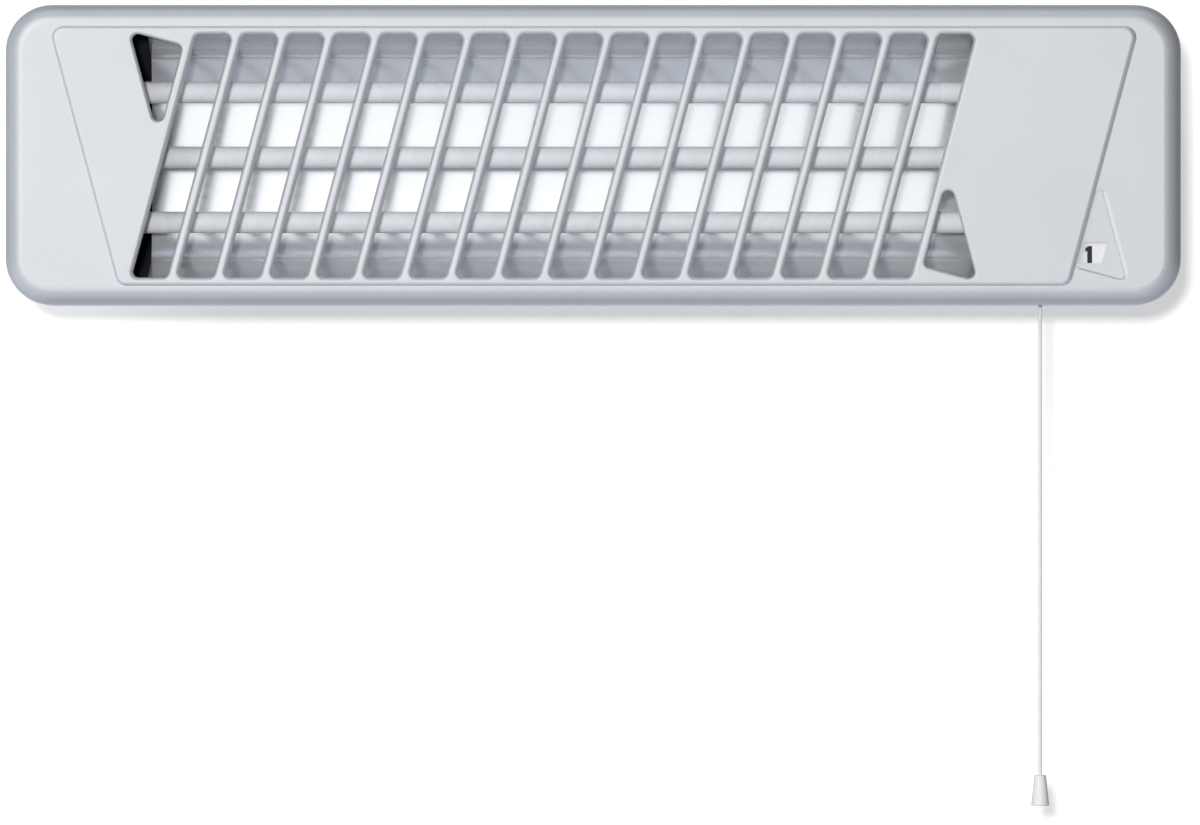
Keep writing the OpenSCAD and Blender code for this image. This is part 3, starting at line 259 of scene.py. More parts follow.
rubber = plastic("rubber", (0.03, 0.03, 0.032), (0.6, 0.75), 0.7, 0.02)
bakelite = plastic("bakelite", (0.13, 0.065, 0.04), (0.3, 0.42), 0.5, 0.01)
ivory = plastic("ivory", (0.78, 0.75, 0.66), (0.4, 0.55), 0.6, 0.01)
grey_plastic = plastic("grey_plastic", (0.10, 0.10, 0.105), (0.4, 0.55), 0.6, 0.01)
sleeve = plastic("sleeve", (0.45, 0.07, 0.045), (0.5, 0.62), 0.4, 0.01)
dial_white = plastic("dial_white", (0.97, 0.97, 0.97), (0.4, 0.5), 0.4, 0.003)
digit_black = plastic("digit_black", (0.012, 0.012, 0.012), (0.45, 0.55), 0.4, 0.002,
                      Specular_IOR_Level=0.0)
nylon = plastic("nylon", (0.82, 0.82, 0.80), (0.35, 0.5), 0.4, 0.004)
knob_plastic = plastic("knob_plastic", (0.97, 0.97, 0.965), (0.24, 0.34), 0.8, 0.003)


def clear_material():
    """A clear lens that leaves the digit behind it black."""
    made = Surface("clear_plastic", (0.97, 0.98, 0.99), 0.0, 0.04, Alpha=0.02)
    return made.rough_from(made.noise(3.0), (0.02, 0.06)).mat


def braid_material():
    """White braided cord: its strands are shaped in the mesh and mottled here."""
    color = (0.95, 0.95, 0.945)
    made = Surface("braid", color, 0.0, 0.8, Sheen_Weight=0.3, Sheen_Roughness=0.5)
    strands = made.noise(0.25, (1, 1, 2.5))
    made.color_from(made.ramp(strands, [(0.3, shade(color, 0.88)), (0.7, color)]))
    return made.rough_from(strands, (0.7, 0.88)).bump(strands, 0.03).mat


clear_plastic = clear_material()
braid = braid_material()

FINISH = {
    "silver_paint": silver_paint, "housing_steel": housing_paint_and_inner_shade, "bracket_steel": bracket_steel,
    "fixing_steel": fixing_steel, "mirror_aluminium": mirror_sheet, "dark_steel": dark_steel,
    "milky_quartz": quartz, "coil_wire": coil_steel, "ceramic": ceramic, "brass": brass,
    "black_rubber": rubber, "brown_bakelite": bakelite, "ivory_plastic": ivory,
    "grey_plastic": grey_plastic, "lead_sleeve": sleeve, "clear_plastic": clear_plastic,
    "dial_white": dial_white, "digit_black": digit_black, "white_nylon": nylon,
    "cord_white": braid, "knob_plastic": knob_plastic,
}
for subpart in frame["record"]["subparts"]:
    node = NODES[subpart["node"]]
    if not node.material_slots:
        node.data.materials.append(None)
    for material_slot in node.material_slots:
        material_slot.material = FINISH[subpart["material_slot"]]

# ---------------------------------------------------------------- meshes


def add_object(name, bm, slot, smooth_angle=35.0):
    """Turns a bmesh in millimetres into an object with smooth shading and sharp creases."""
    bmesh.ops.scale(bm, vec=(MM, MM, MM), verts=bm.verts)
    limit = math.radians(smooth_angle)
    for face in bm.faces:
        face.smooth = True
    for edge in bm.edges:
        edge.smooth = len(edge.link_faces) == 2 and edge.calc_face_angle(0.0) < limit
    mesh = bpy.data.meshes.new(name)
    bm.to_mesh(mesh)
    bm.free()
    mesh.materials.append(FINISH[slot])
    made = bpy.data.objects.new(name, mesh)
    bpy.context.scene.collection.objects.link(made)
    weighted = made.modifiers.new("weighted_normals", "WEIGHTED_NORMAL")
    weighted.keep_sharp = True
    return made


def closed_object(name, bm, slot, smooth_angle=35.0):
    """Like add_object, for a closed bmesh whose faces don't yet all look outwards."""
    bmesh.ops.recalc_face_normals(bm, faces=bm.faces)
    return add_object(name, bm, slot, smooth_angle)


def dress(piece, body, *nodes):
    """Lets a piece ride on a body, in place of the CAD nodes that it stands for."""
    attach(piece, body)
    if nodes:
        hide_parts(*nodes)
    return piece


def bridge(bm, *rings):
    """Joins each ring to the next, of as many points, with a strip of faces."""
    for a, b in zip(rings, rings[1:]):
        count = len(a)
        for i in range(count):
            bm.faces.new((a[i], a[(i + 1) % count], b[(i + 1) % count], b[i]))


def ring_edges(ring):
    edges = []
    for i, vert in enumerate(ring):
        other = ring[(i + 1) % len(ring)]
        edges.append(next(e for e in vert.link_edges if e.other_vert(vert) == other))
    return edges


def fill(bm, *rings):
    """Fills the flat face between an outer ring and the rings of its holes."""
    edges = [edge for ring in rings for edge in ring_edges(ring)]
    bmesh.ops.triangle_fill(bm, use_beauty=True, use_dissolve=False, edges=edges)


def corner_arc(p, c, q, r, steps):
    """The arc that rounds corner c between p and q: its centre and the way to each point."""
    u, v = (p - c).normalized(), (q - c).normalized()
    half = u.angle(v) / 2
    middle = c + (u + v).normalized() * r / math.sin(half)
    a, b = c + u * r / math.tan(half) - middle, c + v * r / math.tan(half) - middle
    start = math.atan2(a.y, a.x)
    turn = (math.atan2(b.y, b.x) - start + 3 * math.pi) % (2 * math.pi) - math.pi
    angles = [start + turn * k / steps for k in range(steps + 1)]
    return middle, [(math.cos(w), math.sin(w)) for w in angles]


class Outline:
    """A convex outline in the front view whose corners are round; it can be offset exactly."""

    def __init__(self, points, radius, steps=8):
        self.radius = radius
        self.corners = []
        count = len(points)
        for i in range(count):
            p, c, q = (Vector(points[(i + k) % count]) for k in (-1, 0, 1))
            self.corners.append(corner_arc(p, c, q, radius, steps))

    def ring(self, bm, y, grow=0.0):
        """The outline at depth y, offset outwards by grow."""
        r = self.radius + grow
        return [bm.verts.new((middle.x + r * x, y, middle.y + r * z))
                for middle, ways in self.corners for x, z in ways]


def rounded_edge(bm, outline, y_front, radius, steps=6):
    """Rings of the quarter-round front edge of a hole, from the front face to the full size."""
    rings = []
    for k in range(steps + 1):
        a = QUARTER * k / steps
        rings.append(outline.ring(bm, y_front + radius * (1 - math.cos(a)),
                                  radius * (1 - math.sin(a))))
    bridge(bm, *rings)
    return rings


def wall_to(bm, outline, ring, y):
    """A wall from a ring to the outline at depth y."""
    far = outline.ring(bm, y)
    bridge(bm, ring, far)
    return far


def rectangle(cx, cz, w, h):
    return [(cx + w / 2, cz + h / 2), (cx - w / 2, cz + h / 2),
            (cx - w / 2, cz - h / 2), (cx + w / 2, cz - h / 2)]


# The grille panel: a raised plate with slanted slots, whose edges are all rounded
BAR_PITCH, BAR_W, SLOT_COUNT = 18.0, 4.0, 17
SLOT_RUN = BAR_PITCH - BAR_W / math.cos(SLANT)
SLOT_HALF, HOLE_R, SLOT_EDGE_R = 47.1, 2.2, 1.5
BAR_RUN = BAR_PITCH - SLOT_RUN
GRILLE_HALF = SLOT_COUNT * BAR_PITCH / 2
WEDGE_Z, WEDGE_LEG, WEDGE_EDGE_R = 7.3, 36.6, 1.2
WEDGE_ANGLE = math.radians(30)
PANEL_HALF_W, PANEL_HALF_H, PANEL_R = 197.6, 50.3, 4.4
PANEL_RIGHT_OUT = 0.65
OPENING_W, OPENING_H, OPENING_R = 331.2, 96.0, 2.8
BARS_X, BARS_SHORT_X, BARS_Z, BARS_SHORT_Z = 165.0, 141.6, 47.8, 39.3
RECESS_UP, RECESS_LEG, RECESS_R = 14.4, 40.4, 3.0
RECESS_DEEP, RECESS_FACE_Y = 0.78, -123.99


def lean(z):
    return z * TAN_SLANT


def wedge(tip_x, tip_z, leg, turn):
    """Corners of a slanted right-angled triangle, turned by half a turn where turn is -1."""
    s, c = math.sin(SLANT), math.cos(SLANT)
    short = leg * math.tan(WEDGE_ANGLE)
    local = [(0, 0), (leg * s, leg * c), (leg * s - short * c, leg * c + short * s)]
    return [(tip_x + turn * x, tip_z + turn * z) for x, z in local]


def panel_shape(right_in=0.0):
    """The panel's outline, whose right side may be drawn in."""
    lean_out = lean(PANEL_HALF_H)
    right, left = PANEL_HALF_W - right_in / math.cos(SLANT), -PANEL_HALF_W
    top, foot = PANEL_HALF_H + GRILLE_Z, -PANEL_HALF_H + GRILLE_Z
    return Outline([(right + lean_out, top), (left - lean_out, top),
                    (left + lean_out, foot), (right - lean_out, foot)], PANEL_R)


def panel_edge(bm):
    """Rings of the panel's edge: a quarter round, but a broader and flatter one on the right."""
    depth, wide, right_wide, steps = 0.95, 1.7, 1.9, 8
    bevel, rounding = 0.35, 0.65
    rings = []
    for k in range(steps + 1):
        a = QUARTER * k / steps
        inset = wide * (1 - math.sin(a))
        right_in = right_wide * (bevel * math.cos(a) + rounding * (1 - math.sin(a)))
        shape = panel_shape(right_in - inset - PANEL_RIGHT_OUT)
        rings.append(shape.ring(bm, PANEL_Y + depth * (1 - math.cos(a)), -inset))
    bridge(bm, *rings)
    return rings


def panel_holes():
    """Outlines of the slots between the bars and of the wedges at both ends."""
    slots = []
    for k in range(SLOT_COUNT):
        x = GRILLE_X + (k - (SLOT_COUNT - 1) / 2) * BAR_PITCH
        slots.append(Outline([
            (x + sx * SLOT_RUN / 2 + sz * lean(SLOT_HALF), GRILLE_Z + sz * SLOT_HALF)
            for sx, sz in ((1, 1), (-1, 1), (-1, -1), (1, -1))], HOLE_R))
    tip_x = GRILLE_HALF + BAR_RUN / 2 - lean(WEDGE_Z)
    wedges = [Outline(wedge(GRILLE_X - turn * tip_x, GRILLE_Z + turn * WEDGE_Z, WEDGE_LEG, turn),
                      HOLE_R) for turn in (1, -1)]
    return slots, wedges


def grille_panel():
    bm = bmesh.new()
    slots, wedges = panel_holes()
    opening = Outline(rectangle(GRILLE_X, GRILLE_Z, OPENING_W, OPENING_H), OPENING_R)
    half_turn = [(BARS_X, BARS_Z), (-BARS_SHORT_X, BARS_Z), (-BARS_X, -BARS_SHORT_Z)]
    bars = Outline([(GRILLE_X + side * x, GRILLE_Z + side * z) for side in (1, -1)
                    for x, z in half_turn], 0.3, 1)
    edge = panel_edge(bm)
    slot_rings = [rounded_edge(bm, slot, PANEL_Y, SLOT_EDGE_R) for slot in slots]
    wedge_rings = [rounded_edge(bm, w, PANEL_Y, WEDGE_EDGE_R) for w in wedges]
    fill(bm, edge[0], *[r[0] for r in slot_rings + wedge_rings])
    foot = wall_to(bm, panel_shape(-PANEL_RIGHT_OUT), edge[-1], FRAME_FACE_Y)
    step = opening.ring(bm, FRAME_FACE_Y)
    step_low = wall_to(bm, opening, step, PLATE_BACK_Y)
    fill(bm, foot, step)
    wedge_low = [wall_to(bm, w, r[-1], PLATE_BACK_Y) for w, r in zip(wedges, wedge_rings)]
    bars_high = bars.ring(bm, PLATE_BACK_Y)
    bars_low = wall_to(bm, bars, bars_high, BAR_BACK_Y)
    fill(bm, step_low, bars_high, *wedge_low)
    slot_low = [wall_to(bm, s, r[-1], BAR_BACK_Y) for s, r in zip(slots, slot_rings)]
    fill(bm, bars_low, *slot_low)
    return dress(closed_object("grille_panel_cover", bm, "silver_paint"),
                 "heater_head", "grille_panel")


def recess_fillet():
    """The soft slope along the right and the foot of the three-cornered recess beside the panel."""
    bm = bmesh.new()
    foot_z = HEAD_BOTTOM + RECESS_UP
    edge_x = PANEL_HALF_W + lean(foot_z - GRILLE_Z)
    up = Vector((math.sin(SLANT), math.cos(SLANT)))

    def level(side_in, foot_in, depth):
        drop = 2 * side_in
        tip = Vector((edge_x, foot_z)) + (RECESS_LEG - drop) * up
        corners = wedge(*tip, RECESS_LEG - drop - foot_in, -1)
        return Outline(corners, RECESS_R - 0.8 * side_in).ring(bm, RECESS_FACE_Y + depth)

    # in from the side, in from the foot, depth
    slope = [(0, 0, 0), (0.25, 0.02, 0.01), (0.5, 0.04, 0.04), (1.1, 0.08, 0.15),
             (1.7, 0.15, 0.28), (1.85, 0.3, 0.42), (1.9, 0.5, 0.64), (1.95, 0.7, RECESS_DEEP)]
    rings = [level(*place) for place in slope]
    low = level(0, 0, RECESS_DEEP)
    bridge(bm, *rings, low)
    bridge(bm, rings[0], low)
    return dress(closed_object("recess_fillet", bm, "silver_paint", 60), "heater_head")


# The reflector: one bent sheet with a shallow middle and two leaning sides
REFLECTOR_X, REFLECTOR_T, CREASE_REACH = (-172.8, 150.5), 0.8, 1.6
MOUTH_Y, MOUTH_Z, MIDDLE_Y = -118.5, 47.2, -77.0
FLAT_R, FLAT_HALF, SHOULDER_R, CREASE_Z = 300.0, 24.0, 31.4, 39.3


def reflector_section():
    """The sheet's mirror side as (y, z), from the lower mouth over the middle to the upper one."""
    flat_a = math.asin(FLAT_HALF / FLAT_R)
    crease_a = math.asin(math.sin(flat_a) + (CREASE_Z - FLAT_HALF) / SHOULDER_R)
    flat = [(MIDDLE_Y - FLAT_R * (1 - math.cos(a)), FLAT_R * math.sin(a))
            for a in (flat_a * k / 8 for k in range(-8, 9))]
    shoulder = [(flat[-1][0] - SHOULDER_R * (math.cos(flat_a) - math.cos(a)),
                 FLAT_HALF + SHOULDER_R * (math.sin(a) - math.sin(flat_a)))
                for a in (flat_a + (crease_a - flat_a) * k / 16 for k in range(1, 17))]
    upper = shoulder + [(MOUTH_Y, MOUTH_Z)]
    path = [Vector(point) for point in [(y, -z) for y, z in reversed(upper)] + flat + upper]
    soft = []
    for i, c in enumerate(path):
        if i not in (1, len(path) - 2):
            soft.append(c)
            continue
        # a small bend at each crease
        p, q = path[i - 1], path[i + 1]
        reach = min(CREASE_REACH, (p - c).length * 0.45, (q - c).length * 0.45)
        a, b = c + (p - c).normalized() * reach, c + (q - c).normalized() * reach
        for t in (0.0, 0.25, 0.5, 0.75, 1.0):
            soft.append(a * (1 - t) ** 2 + c * 2 * t * (1 - t) + b * t * t)
    return soft


def reflector():
    bm = bmesh.new()
    mirror = reflector_section()
    back = []
    for i, point in enumerate(mirror):
        along = (mirror[min(i + 1, len(mirror) - 1)] - mirror[max(i - 1, 0)]).normalized()
        back.append(point + REFLECTOR_T * Vector((along.y, -along.x)))
    outline = mirror + back[::-1]
    (left, right), steps = REFLECTOR_X, 24
    rings = []
    for k in range(steps + 1):
        x = left + (right - left) * k / steps
        rings.append([bm.verts.new((x, y, z + GRILLE_Z)) for y, z in outline])
    bridge(bm, *rings)
    for ring in (rings[0], rings[-1]):
        for i in range(len(mirror) - 1):
            bm.faces.new((ring[i], ring[i + 1], ring[-i - 2], ring[-i - 1]))
    return dress(closed_object("reflector_sheet", bm, "mirror_aluminium", 50),
                 "heater_head", "reflector")


def bold_digits():
    """The dial's digits, thickened as printed ones are."""
    source, thicker = NODES["dial_digits"], 0.17
    bm = bmesh.new()
    bm.from_mesh(source.data)
    bmesh.ops.transform(bm, matrix=source.matrix_world, verts=bm.verts)
    bmesh.ops.scale(bm, vec=(1 / MM, 1 / MM, 1 / MM), verts=bm.verts)
    bmesh.ops.remove_doubles(bm, verts=bm.verts, dist=0.002)
    bm.normal_update()
    moves = {}
    for vert in bm.verts:
        sides = {tuple(round(n, 2) for n in face.normal)
                 for face in vert.link_faces if abs(face.normal.y) < 0.5}
        out = sum((Vector(side) for side in sides), Vector())
        if out.length > 0.3:
            # a corner goes out as far as both its sides do
            moves[vert] = out * thicker * (2 / out.length_squared if len(sides) > 1 else 1)
    for vert, move in moves.items():
        vert.co += move if move.length < 2 * thicker else move.normalized() * 2 * thicker
    return dress(add_object("digits_bold", bm, "digit_black"), "dial", "dial_digits")


# The rear housing: a drawn tray, as (depth, inset) levels from its rim to its flat back
HOUSING_W, HOUSING_H, HOUSING_R, HOUSING_T = HEAD_W - 4.4, HEAD_H - 4.4, 15.8, 1.2
RIM_Y, RIM_LEVELS = -93.0, [(-93.0, 0.0), (-86.6, 0.0), (-85.4, 0.35)]
TAPER_Y, TAPER_DEEP, TAPER_IN, TAPER_RUN = -85.4, 29.8, 0.35, 23.3
BEND_Y, BEND_IN, BEND_R = -55.05, 24.0, 8.0
GROMMET_X, GROMMET_Z, GROMMET_HOLE_R = 172, -12, 6


def housing_levels():
    taper = [(TAPER_Y + t * TAPER_DEEP, TAPER_IN + t * TAPER_RUN)
             for t in (k / 12 for k in range(1, 13))]
    bend = [(BEND_Y + BEND_R * math.sin(a), BEND_IN + BEND_R * (1 - math.cos(a)))
            for a in (QUARTER * k / 8 for k in range(9))]
    return RIM_LEVELS + taper + bend


def rear_housing():
    bm = bmesh.new()

    def shell(inset, shift):
        rings = []
        for y, level_in in housing_levels():
            r = max(HOUSING_R - inset - max(level_in - BEND_IN, 0), 1.0)
            d = inset + level_in
            shape = Outline(rectangle(0, 0, HOUSING_W - 2 * d, HOUSING_H - 2 * d), r, 10)
            rings.append(shape.ring(bm, y - shift))
        bridge(bm, *rings)
        return rings

    outside, inside = shell(0.0, 0.0), shell(HOUSING_T, HOUSING_T)
    lip = [bm.verts.new((v.co.x, RIM_Y, v.co.z)) for v in inside[0]]
    bridge(bm, inside[0], lip, outside[0])
    hexagon = [(GROMMET_X + GROMMET_HOLE_R * math.cos(math.pi * k / 3),
                GROMMET_Z + GROMMET_HOLE_R * math.sin(math.pi * k / 3)) for k in range(6)]
    hole = Outline(hexagon, 4.9, 4)
    near = hole.ring(bm, BEND_Y + BEND_R)
    far = wall_to(bm, hole, near, BEND_Y + BEND_R - HOUSING_T)
    fill(bm, outside[-1], near)
    fill(bm, inside[-1], far)
    return dress(closed_object("housing_shell", bm, "housing_steel", 40),
                 "heater_head", "rear_housing")


# ---------------------------------------------------------------- wires


def smooth_path(points, steps):
    """A Catmull-Rom curve through points."""
    p = [Vector(point) for point in points]
    last = len(p) - 1
    made = []
    for i in range(last):
        a, b, c, d = p[max(i - 1, 0)], p[i], p[i + 1], p[min(i + 2, last)]
        for k in range(steps):
            t = k / steps
            made.append(b + (c - a) * t / 2 + (2 * a - 5 * b + 4 * c - d) * t * t / 2
                        + (3 * b - a - 3 * c + d) * t * t * t / 2)
    return made + [p[last]]


def tube(bm, path, radius, sides, closed=False):
    """Sweeps a circle along path; radius is a number or a function of the turn and the length."""
    count = len(path)
    ways = []
    for i in range(count):
        a = path[i - 1] if closed else path[max(i - 1, 0)]
        b = path[(i + 1) % count] if closed else path[min(i + 1, count - 1)]
        ways.append((b - a).normalized())
    side = ways[0].cross(Vector((0.3, 0.5, 0.8))).normalized()
    rings, length = [], 0.0
    for i, (point, way) in enumerate(zip(path, ways)):
        if i:
            length += (point - path[i - 1]).length
        side = (side - side.dot(way) * way).normalized()
        other = way.cross(side)
        ring = []
        for k in range(sides):
            a = 2 * math.pi * k / sides
            r = radius(a, length) if callable(radius) else radius
            ring.append(bm.verts.new(point + r * (math.cos(a) * side + math.sin(a) * other)))
        rings.append(ring)
    bridge(bm, *rings)
    if closed:
        # the last ring is turned against the first, so it joins at the nearest point
        shift = min(range(sides), key=lambda k: (rings[0][k].co - rings[-1][0].co).length)
        bridge(bm, rings[-1], rings[0][shift:] + rings[0][:shift])
    else:
        bm.faces.new(rings[0])
        bm.faces.new(rings[-1])


def braided(radius):
    """Radius of a braided cord: strands that cross in two spirals."""
    strands, pitch, relief = 4, 2.4, 0.07

    def at(a, length):
        along = 2 * math.pi * length / pitch
        high = max(math.sin(strands * a + along), math.sin(strands * a - along))
        return radius * (1 - relief + relief * high)
    return at


# The pull cord, its knot and its knob
CORD_X, CORD_Y = 174.0, -102.0
CORD_ROUTE = [(CORD_X, CORD_Y, z) for z in (
    HEAD_BOTTOM, -64, -74, -84, -96, -108, -120, -132, -144, -156, -168, -180, -192, -204, -216,
    -228, -240, -250.8)]
CORD_R, CORD_SIDES, CORD_TOP = 0.75, 16, -13.9
KNOT_Z, KNOT_R = -249.35, 0.62
KNOB_TOP, KNOB_FOOT, KNOB_ROOF = -241.0, -253.0, -248.0
KNOB_TOP_R, KNOB_FOOT_R, KNOB_BORE, KNOB_HOLLOW = 2.25, 3.55, 0.95, 2.3


def pull_cord():
    bm = bmesh.new()
    tube(bm, smooth_path(CORD_ROUTE, 30), braided(CORD_R), CORD_SIDES)
    piece = closed_object("pull_cord_braid", bm, "cord_white", 60)
    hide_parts("pull_cord")
    return piece


def inner_cord():
    bm = bmesh.new()
    steps = 90
    path = [Vector((CORD_X, CORD_Y, HEAD_BOTTOM + (CORD_TOP - HEAD_BOTTOM) * k / steps))
            for k in range(steps + 1)]
    tube(bm, path, braided(CORD_R), CORD_SIDES)
    return dress(closed_object("inner_cord_braid", bm, "cord_white", 60),
                 "cord_slide", "pull_cord_inner")


def knot():
    """A half hitch: a trefoil of cord, drawn tight under the knob."""
    bm = bmesh.new()
    centre, spread, steps = Vector((CORD_X, CORD_Y, KNOT_Z)), 0.52 * KNOT_R, 96
    path = []
    for t in (2 * math.pi * k / steps for k in range(steps)):
        path.append(centre + Vector((spread * (math.sin(t) + 1.5 * math.sin(2 * t)),
                                     spread * (math.cos(t) - 1.5 * math.cos(2 * t)),
                                     -KNOT_R * math.sin(3 * t))))
    tube(bm, path, KNOT_R, 12, closed=True)
    return dress(closed_object("cord_end_knot", bm, "cord_white", 60), "hanging_cord", "cord_knot")


def round_off(points, radii, steps=5):
    """Rounds each corner of a closed profile by its own radius."""
    made = []
    for i, r in enumerate(radii):
        p, c, q = (Vector(points[(i + k) % len(points)]) for k in (-1, 0, 1))
        middle, ways = corner_arc(p, c, q, r, steps)
        made += [(middle.x + r * x, middle.y + r * z) for x, z in ways]
    return made


def pull_knob():
    """A turned cone with a bore for the cord and a hollow for the knot."""
    bm = bmesh.new()
    corners = [(KNOB_BORE, KNOB_TOP), (KNOB_TOP_R, KNOB_TOP), (KNOB_FOOT_R, KNOB_FOOT),
               (KNOB_HOLLOW, KNOB_FOOT), (KNOB_HOLLOW, KNOB_ROOF), (KNOB_BORE, KNOB_ROOF)]
    profile = round_off(corners, [0.25, 0.55, 0.5, 0.25, 0.2, 0.1])
    sides = 64
    round_ways = [(math.cos(2 * math.pi * k / sides), math.sin(2 * math.pi * k / sides))
                  for k in range(sides)]
    rings = [[bm.verts.new((CORD_X + r * x, CORD_Y + r * y, z)) for x, y in round_ways]
             for r, z in profile]
    bridge(bm, *rings, rings[0])
    return dress(closed_object("pull_knob_turned", bm, "knob_plastic"), "hanging_cord", "pull_knob")


cord_piece = pull_cord()
inner_cord()
knot_piece = knot()
knob_piece = pull_knob()
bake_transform(cord_piece)

grille_panel()
recess_fillet()
bold_digits()
reflector()
rear_housing()

# Internal leads, from end to end as in the CAD
RIGHT, UP, BACK = Vector((1, 0, 0)), Vector((0, 0, 1)), Vector((0, 1, 0))
TUBE_Y, ROWS = -97.0, (24.8, -0.5, -25.8)
TERMINAL_OUT, TAB = 185.1, 1.7 * UP
CUT_OUT_Y, CUT_OUT_Z = -63.15, -0.5
LEAD_R, LEAD_SIDES, LEAD_STUB = 1.1, 12, 2


def terminal(row, side):
    """The end of a tube's cap, on the left (-1) or the right (1)."""
    return Vector((GRILLE_X + side * TERMINAL_OUT, TUBE_Y, ROWS[row]))


def spade(k):
    """One of the switch's four terminals, from left to right."""
    return Vector((192.4 + (k - 1.5) * 7, -112.5, -0.7))


def port(k):
    """One of the terminal block's three ports, from left (-1) to right (1)."""
    return Vector((173 + 9 * k, -55.7, 15))


# Each lead is (start, way there, places between, end, way there)
LEADS = [(terminal(row, -1) - TAB, -RIGHT,
          [(terminal(row, -1) + terminal(row + 1, -1)) / 2 - 9 * RIGHT],
          terminal(row + 1, -1) + TAB, -RIGHT) for row in (0, 1)]
LEADS += [
    (terminal(2, -1) - TAB, -RIGHT,
     [(-207, -96, -29), (-212, -86, -24), (-210, -74, -4), (-203, -65, 18), (-186, -62, 25),
      (-178, -62, 25), (-120, -61, 26), (-60, -62, 25), (-10, -61, 23), (8, -57, 14)],
     Vector((16, CUT_OUT_Y, CUT_OUT_Z)), BACK),
    (Vector((24, CUT_OUT_Y, CUT_OUT_Z)), BACK,
     [(34, -57, 12), (50, -61, 22), (100, -62, 25), (150, -62, 25), (157, -61, 26)],
     port(-1), 2 * UP),
    (terminal(0, 1), RIGHT, [(180, -102, 21), (182, -110, 13)], spade(0), UP),
    (terminal(1, 1), RIGHT, [(181, -99, 3), (188, -107, 10)], spade(1), UP),
    (terminal(2, 1), RIGHT,
     [(182, -89, -18), (191, -87, -2), (197, -96, 9), (197, -107, 11)], spade(2), UP),
    (spade(3), UP,
     [(204, -107, 10), (205, -94, 14), (199, -76, 18), (187, -64, 25), (177, -58, 28)],
     port(0), 2 * UP),
    (port(1), 2 * UP,
     [(188, -59, 25), (194, -63, 14), (191, -65, 0)], Vector((186, -54.2, -10)), -BACK),
]


def leads():
    bm = bmesh.new()
    for start, start_way, middle, end, end_way in LEADS:
        points = [start + s * LEAD_STUB * start_way for s in (0, 1, 2)]
        points += [Vector(p) for p in middle]
        points += [end + s * LEAD_STUB * end_way for s in (2, 1, 0)]
        tube(bm, smooth_path(points, 8), LEAD_R, LEAD_SIDES)
    return dress(closed_object("lead_sleeves", bm, "lead_sleeve", 60),
                 "heater_head", "internal_leads")


COIL_HALF, COIL_R, COIL_WIRE, COIL_TURNS = 135.1, 2.5, 0.3, 150


def coils():
    """The wound resistance wires inside the tubes."""
    bm = bmesh.new()
    steps = 10
    for row in ROWS:
        path = []
        for i in range(COIL_TURNS * steps + 1):
            a = 2 * math.pi * i / steps
            along = COIL_HALF * (2 * i / (COIL_TURNS * steps) - 1)
            path.append(Vector((GRILLE_X + along, TUBE_Y - COIL_R * math.sin(a),
                                row + COIL_R * math.cos(a))))
        tube(bm, path, COIL_WIRE, 5)
    return dress(closed_object("coil_windings", bm, "coil_wire", 80),
                 "heater_head", "heating_coils")


SPRING_FOOT, SPRING_TOP, SPRING_WIRE, SPRING_R = -52.65, -35.0, 0.3, 2.5
SPRING_LENGTH, PULL_TRAVEL = SPRING_TOP - SPRING_FOOT, 8


def spring():
    """The return spring, with a closed turn at each end."""
    bm = bmesh.new()
    turns, steps, closed_turns = 9, 16, 0.8
    path = []
    for i in range(turns * steps + 1):
        a = 2 * math.pi * i / steps
        lift = min(max((i / steps - closed_turns) / (turns - 2 * closed_turns), 0.0), 1.0)
        z = SPRING_FOOT + SPRING_WIRE + lift * (SPRING_LENGTH - 2 * SPRING_WIRE)
        path.append(Vector((CORD_X + SPRING_R * math.cos(a), CORD_Y + SPRING_R * math.sin(a), z)))
    tube(bm, path, SPRING_WIRE, 8)
    piece = dress(closed_object("return_coil", bm, "fixing_steel", 80),
                  "heater_head", "return_spring")
    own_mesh(piece)


leads()
coils()
spring()

# ---------------------------------------------------------------- wall, floor and light


def stage_material(name, color, lift):
    """A pale matt surface; the camera sees it lifted to white, where no shadow falls.

    Its back is clear, so that the views from behind look through it."""
    mat = bpy.data.materials.new(name)
    mat.use_nodes = True
    tree = mat.node_tree
    nodes, links = tree.nodes, tree.links
    nodes.clear()
    diffuse = nodes.new("ShaderNodeBsdfDiffuse")
    diffuse.inputs["Color"].default_value = (*color, 1)
    glow = nodes.new("ShaderNodeEmission")
    glow.inputs["Strength"].default_value = lift
    add = nodes.new("ShaderNodeAddShader")
    links.new(diffuse.outputs[0], add.inputs[0])
    links.new(glow.outputs[0], add.inputs[1])
    by_camera = nodes.new("ShaderNodeLightPath").outputs["Is Camera Ray"]
    lifted = mix_shader(tree, by_camera, diffuse.outputs[0], add.outputs[0])
    backfacing = nodes.new("ShaderNodeNewGeometry").outputs["Backfacing"]
    clear = nodes.new("ShaderNodeBsdfTransparent").outputs[0]
    both = mix_shader(tree, backfacing, lifted, clear)
    links.new(both, nodes.new("ShaderNodeOutputMaterial").inputs["Surface"])
    return mat


def stage_sheet(name, corners, mat):
    """A wall or floor that sends no light back onto the heater."""
    mesh = bpy.data.meshes.new(name)
    mesh.from_pydata(corners, [], [(0, 1, 2, 3)])
    mesh.materials.append(mat)
    made = bpy.data.objects.new(name, mesh)
    bpy.context.scene.collection.objects.link(made)
    made.visible_diffuse = made.visible_glossy = False


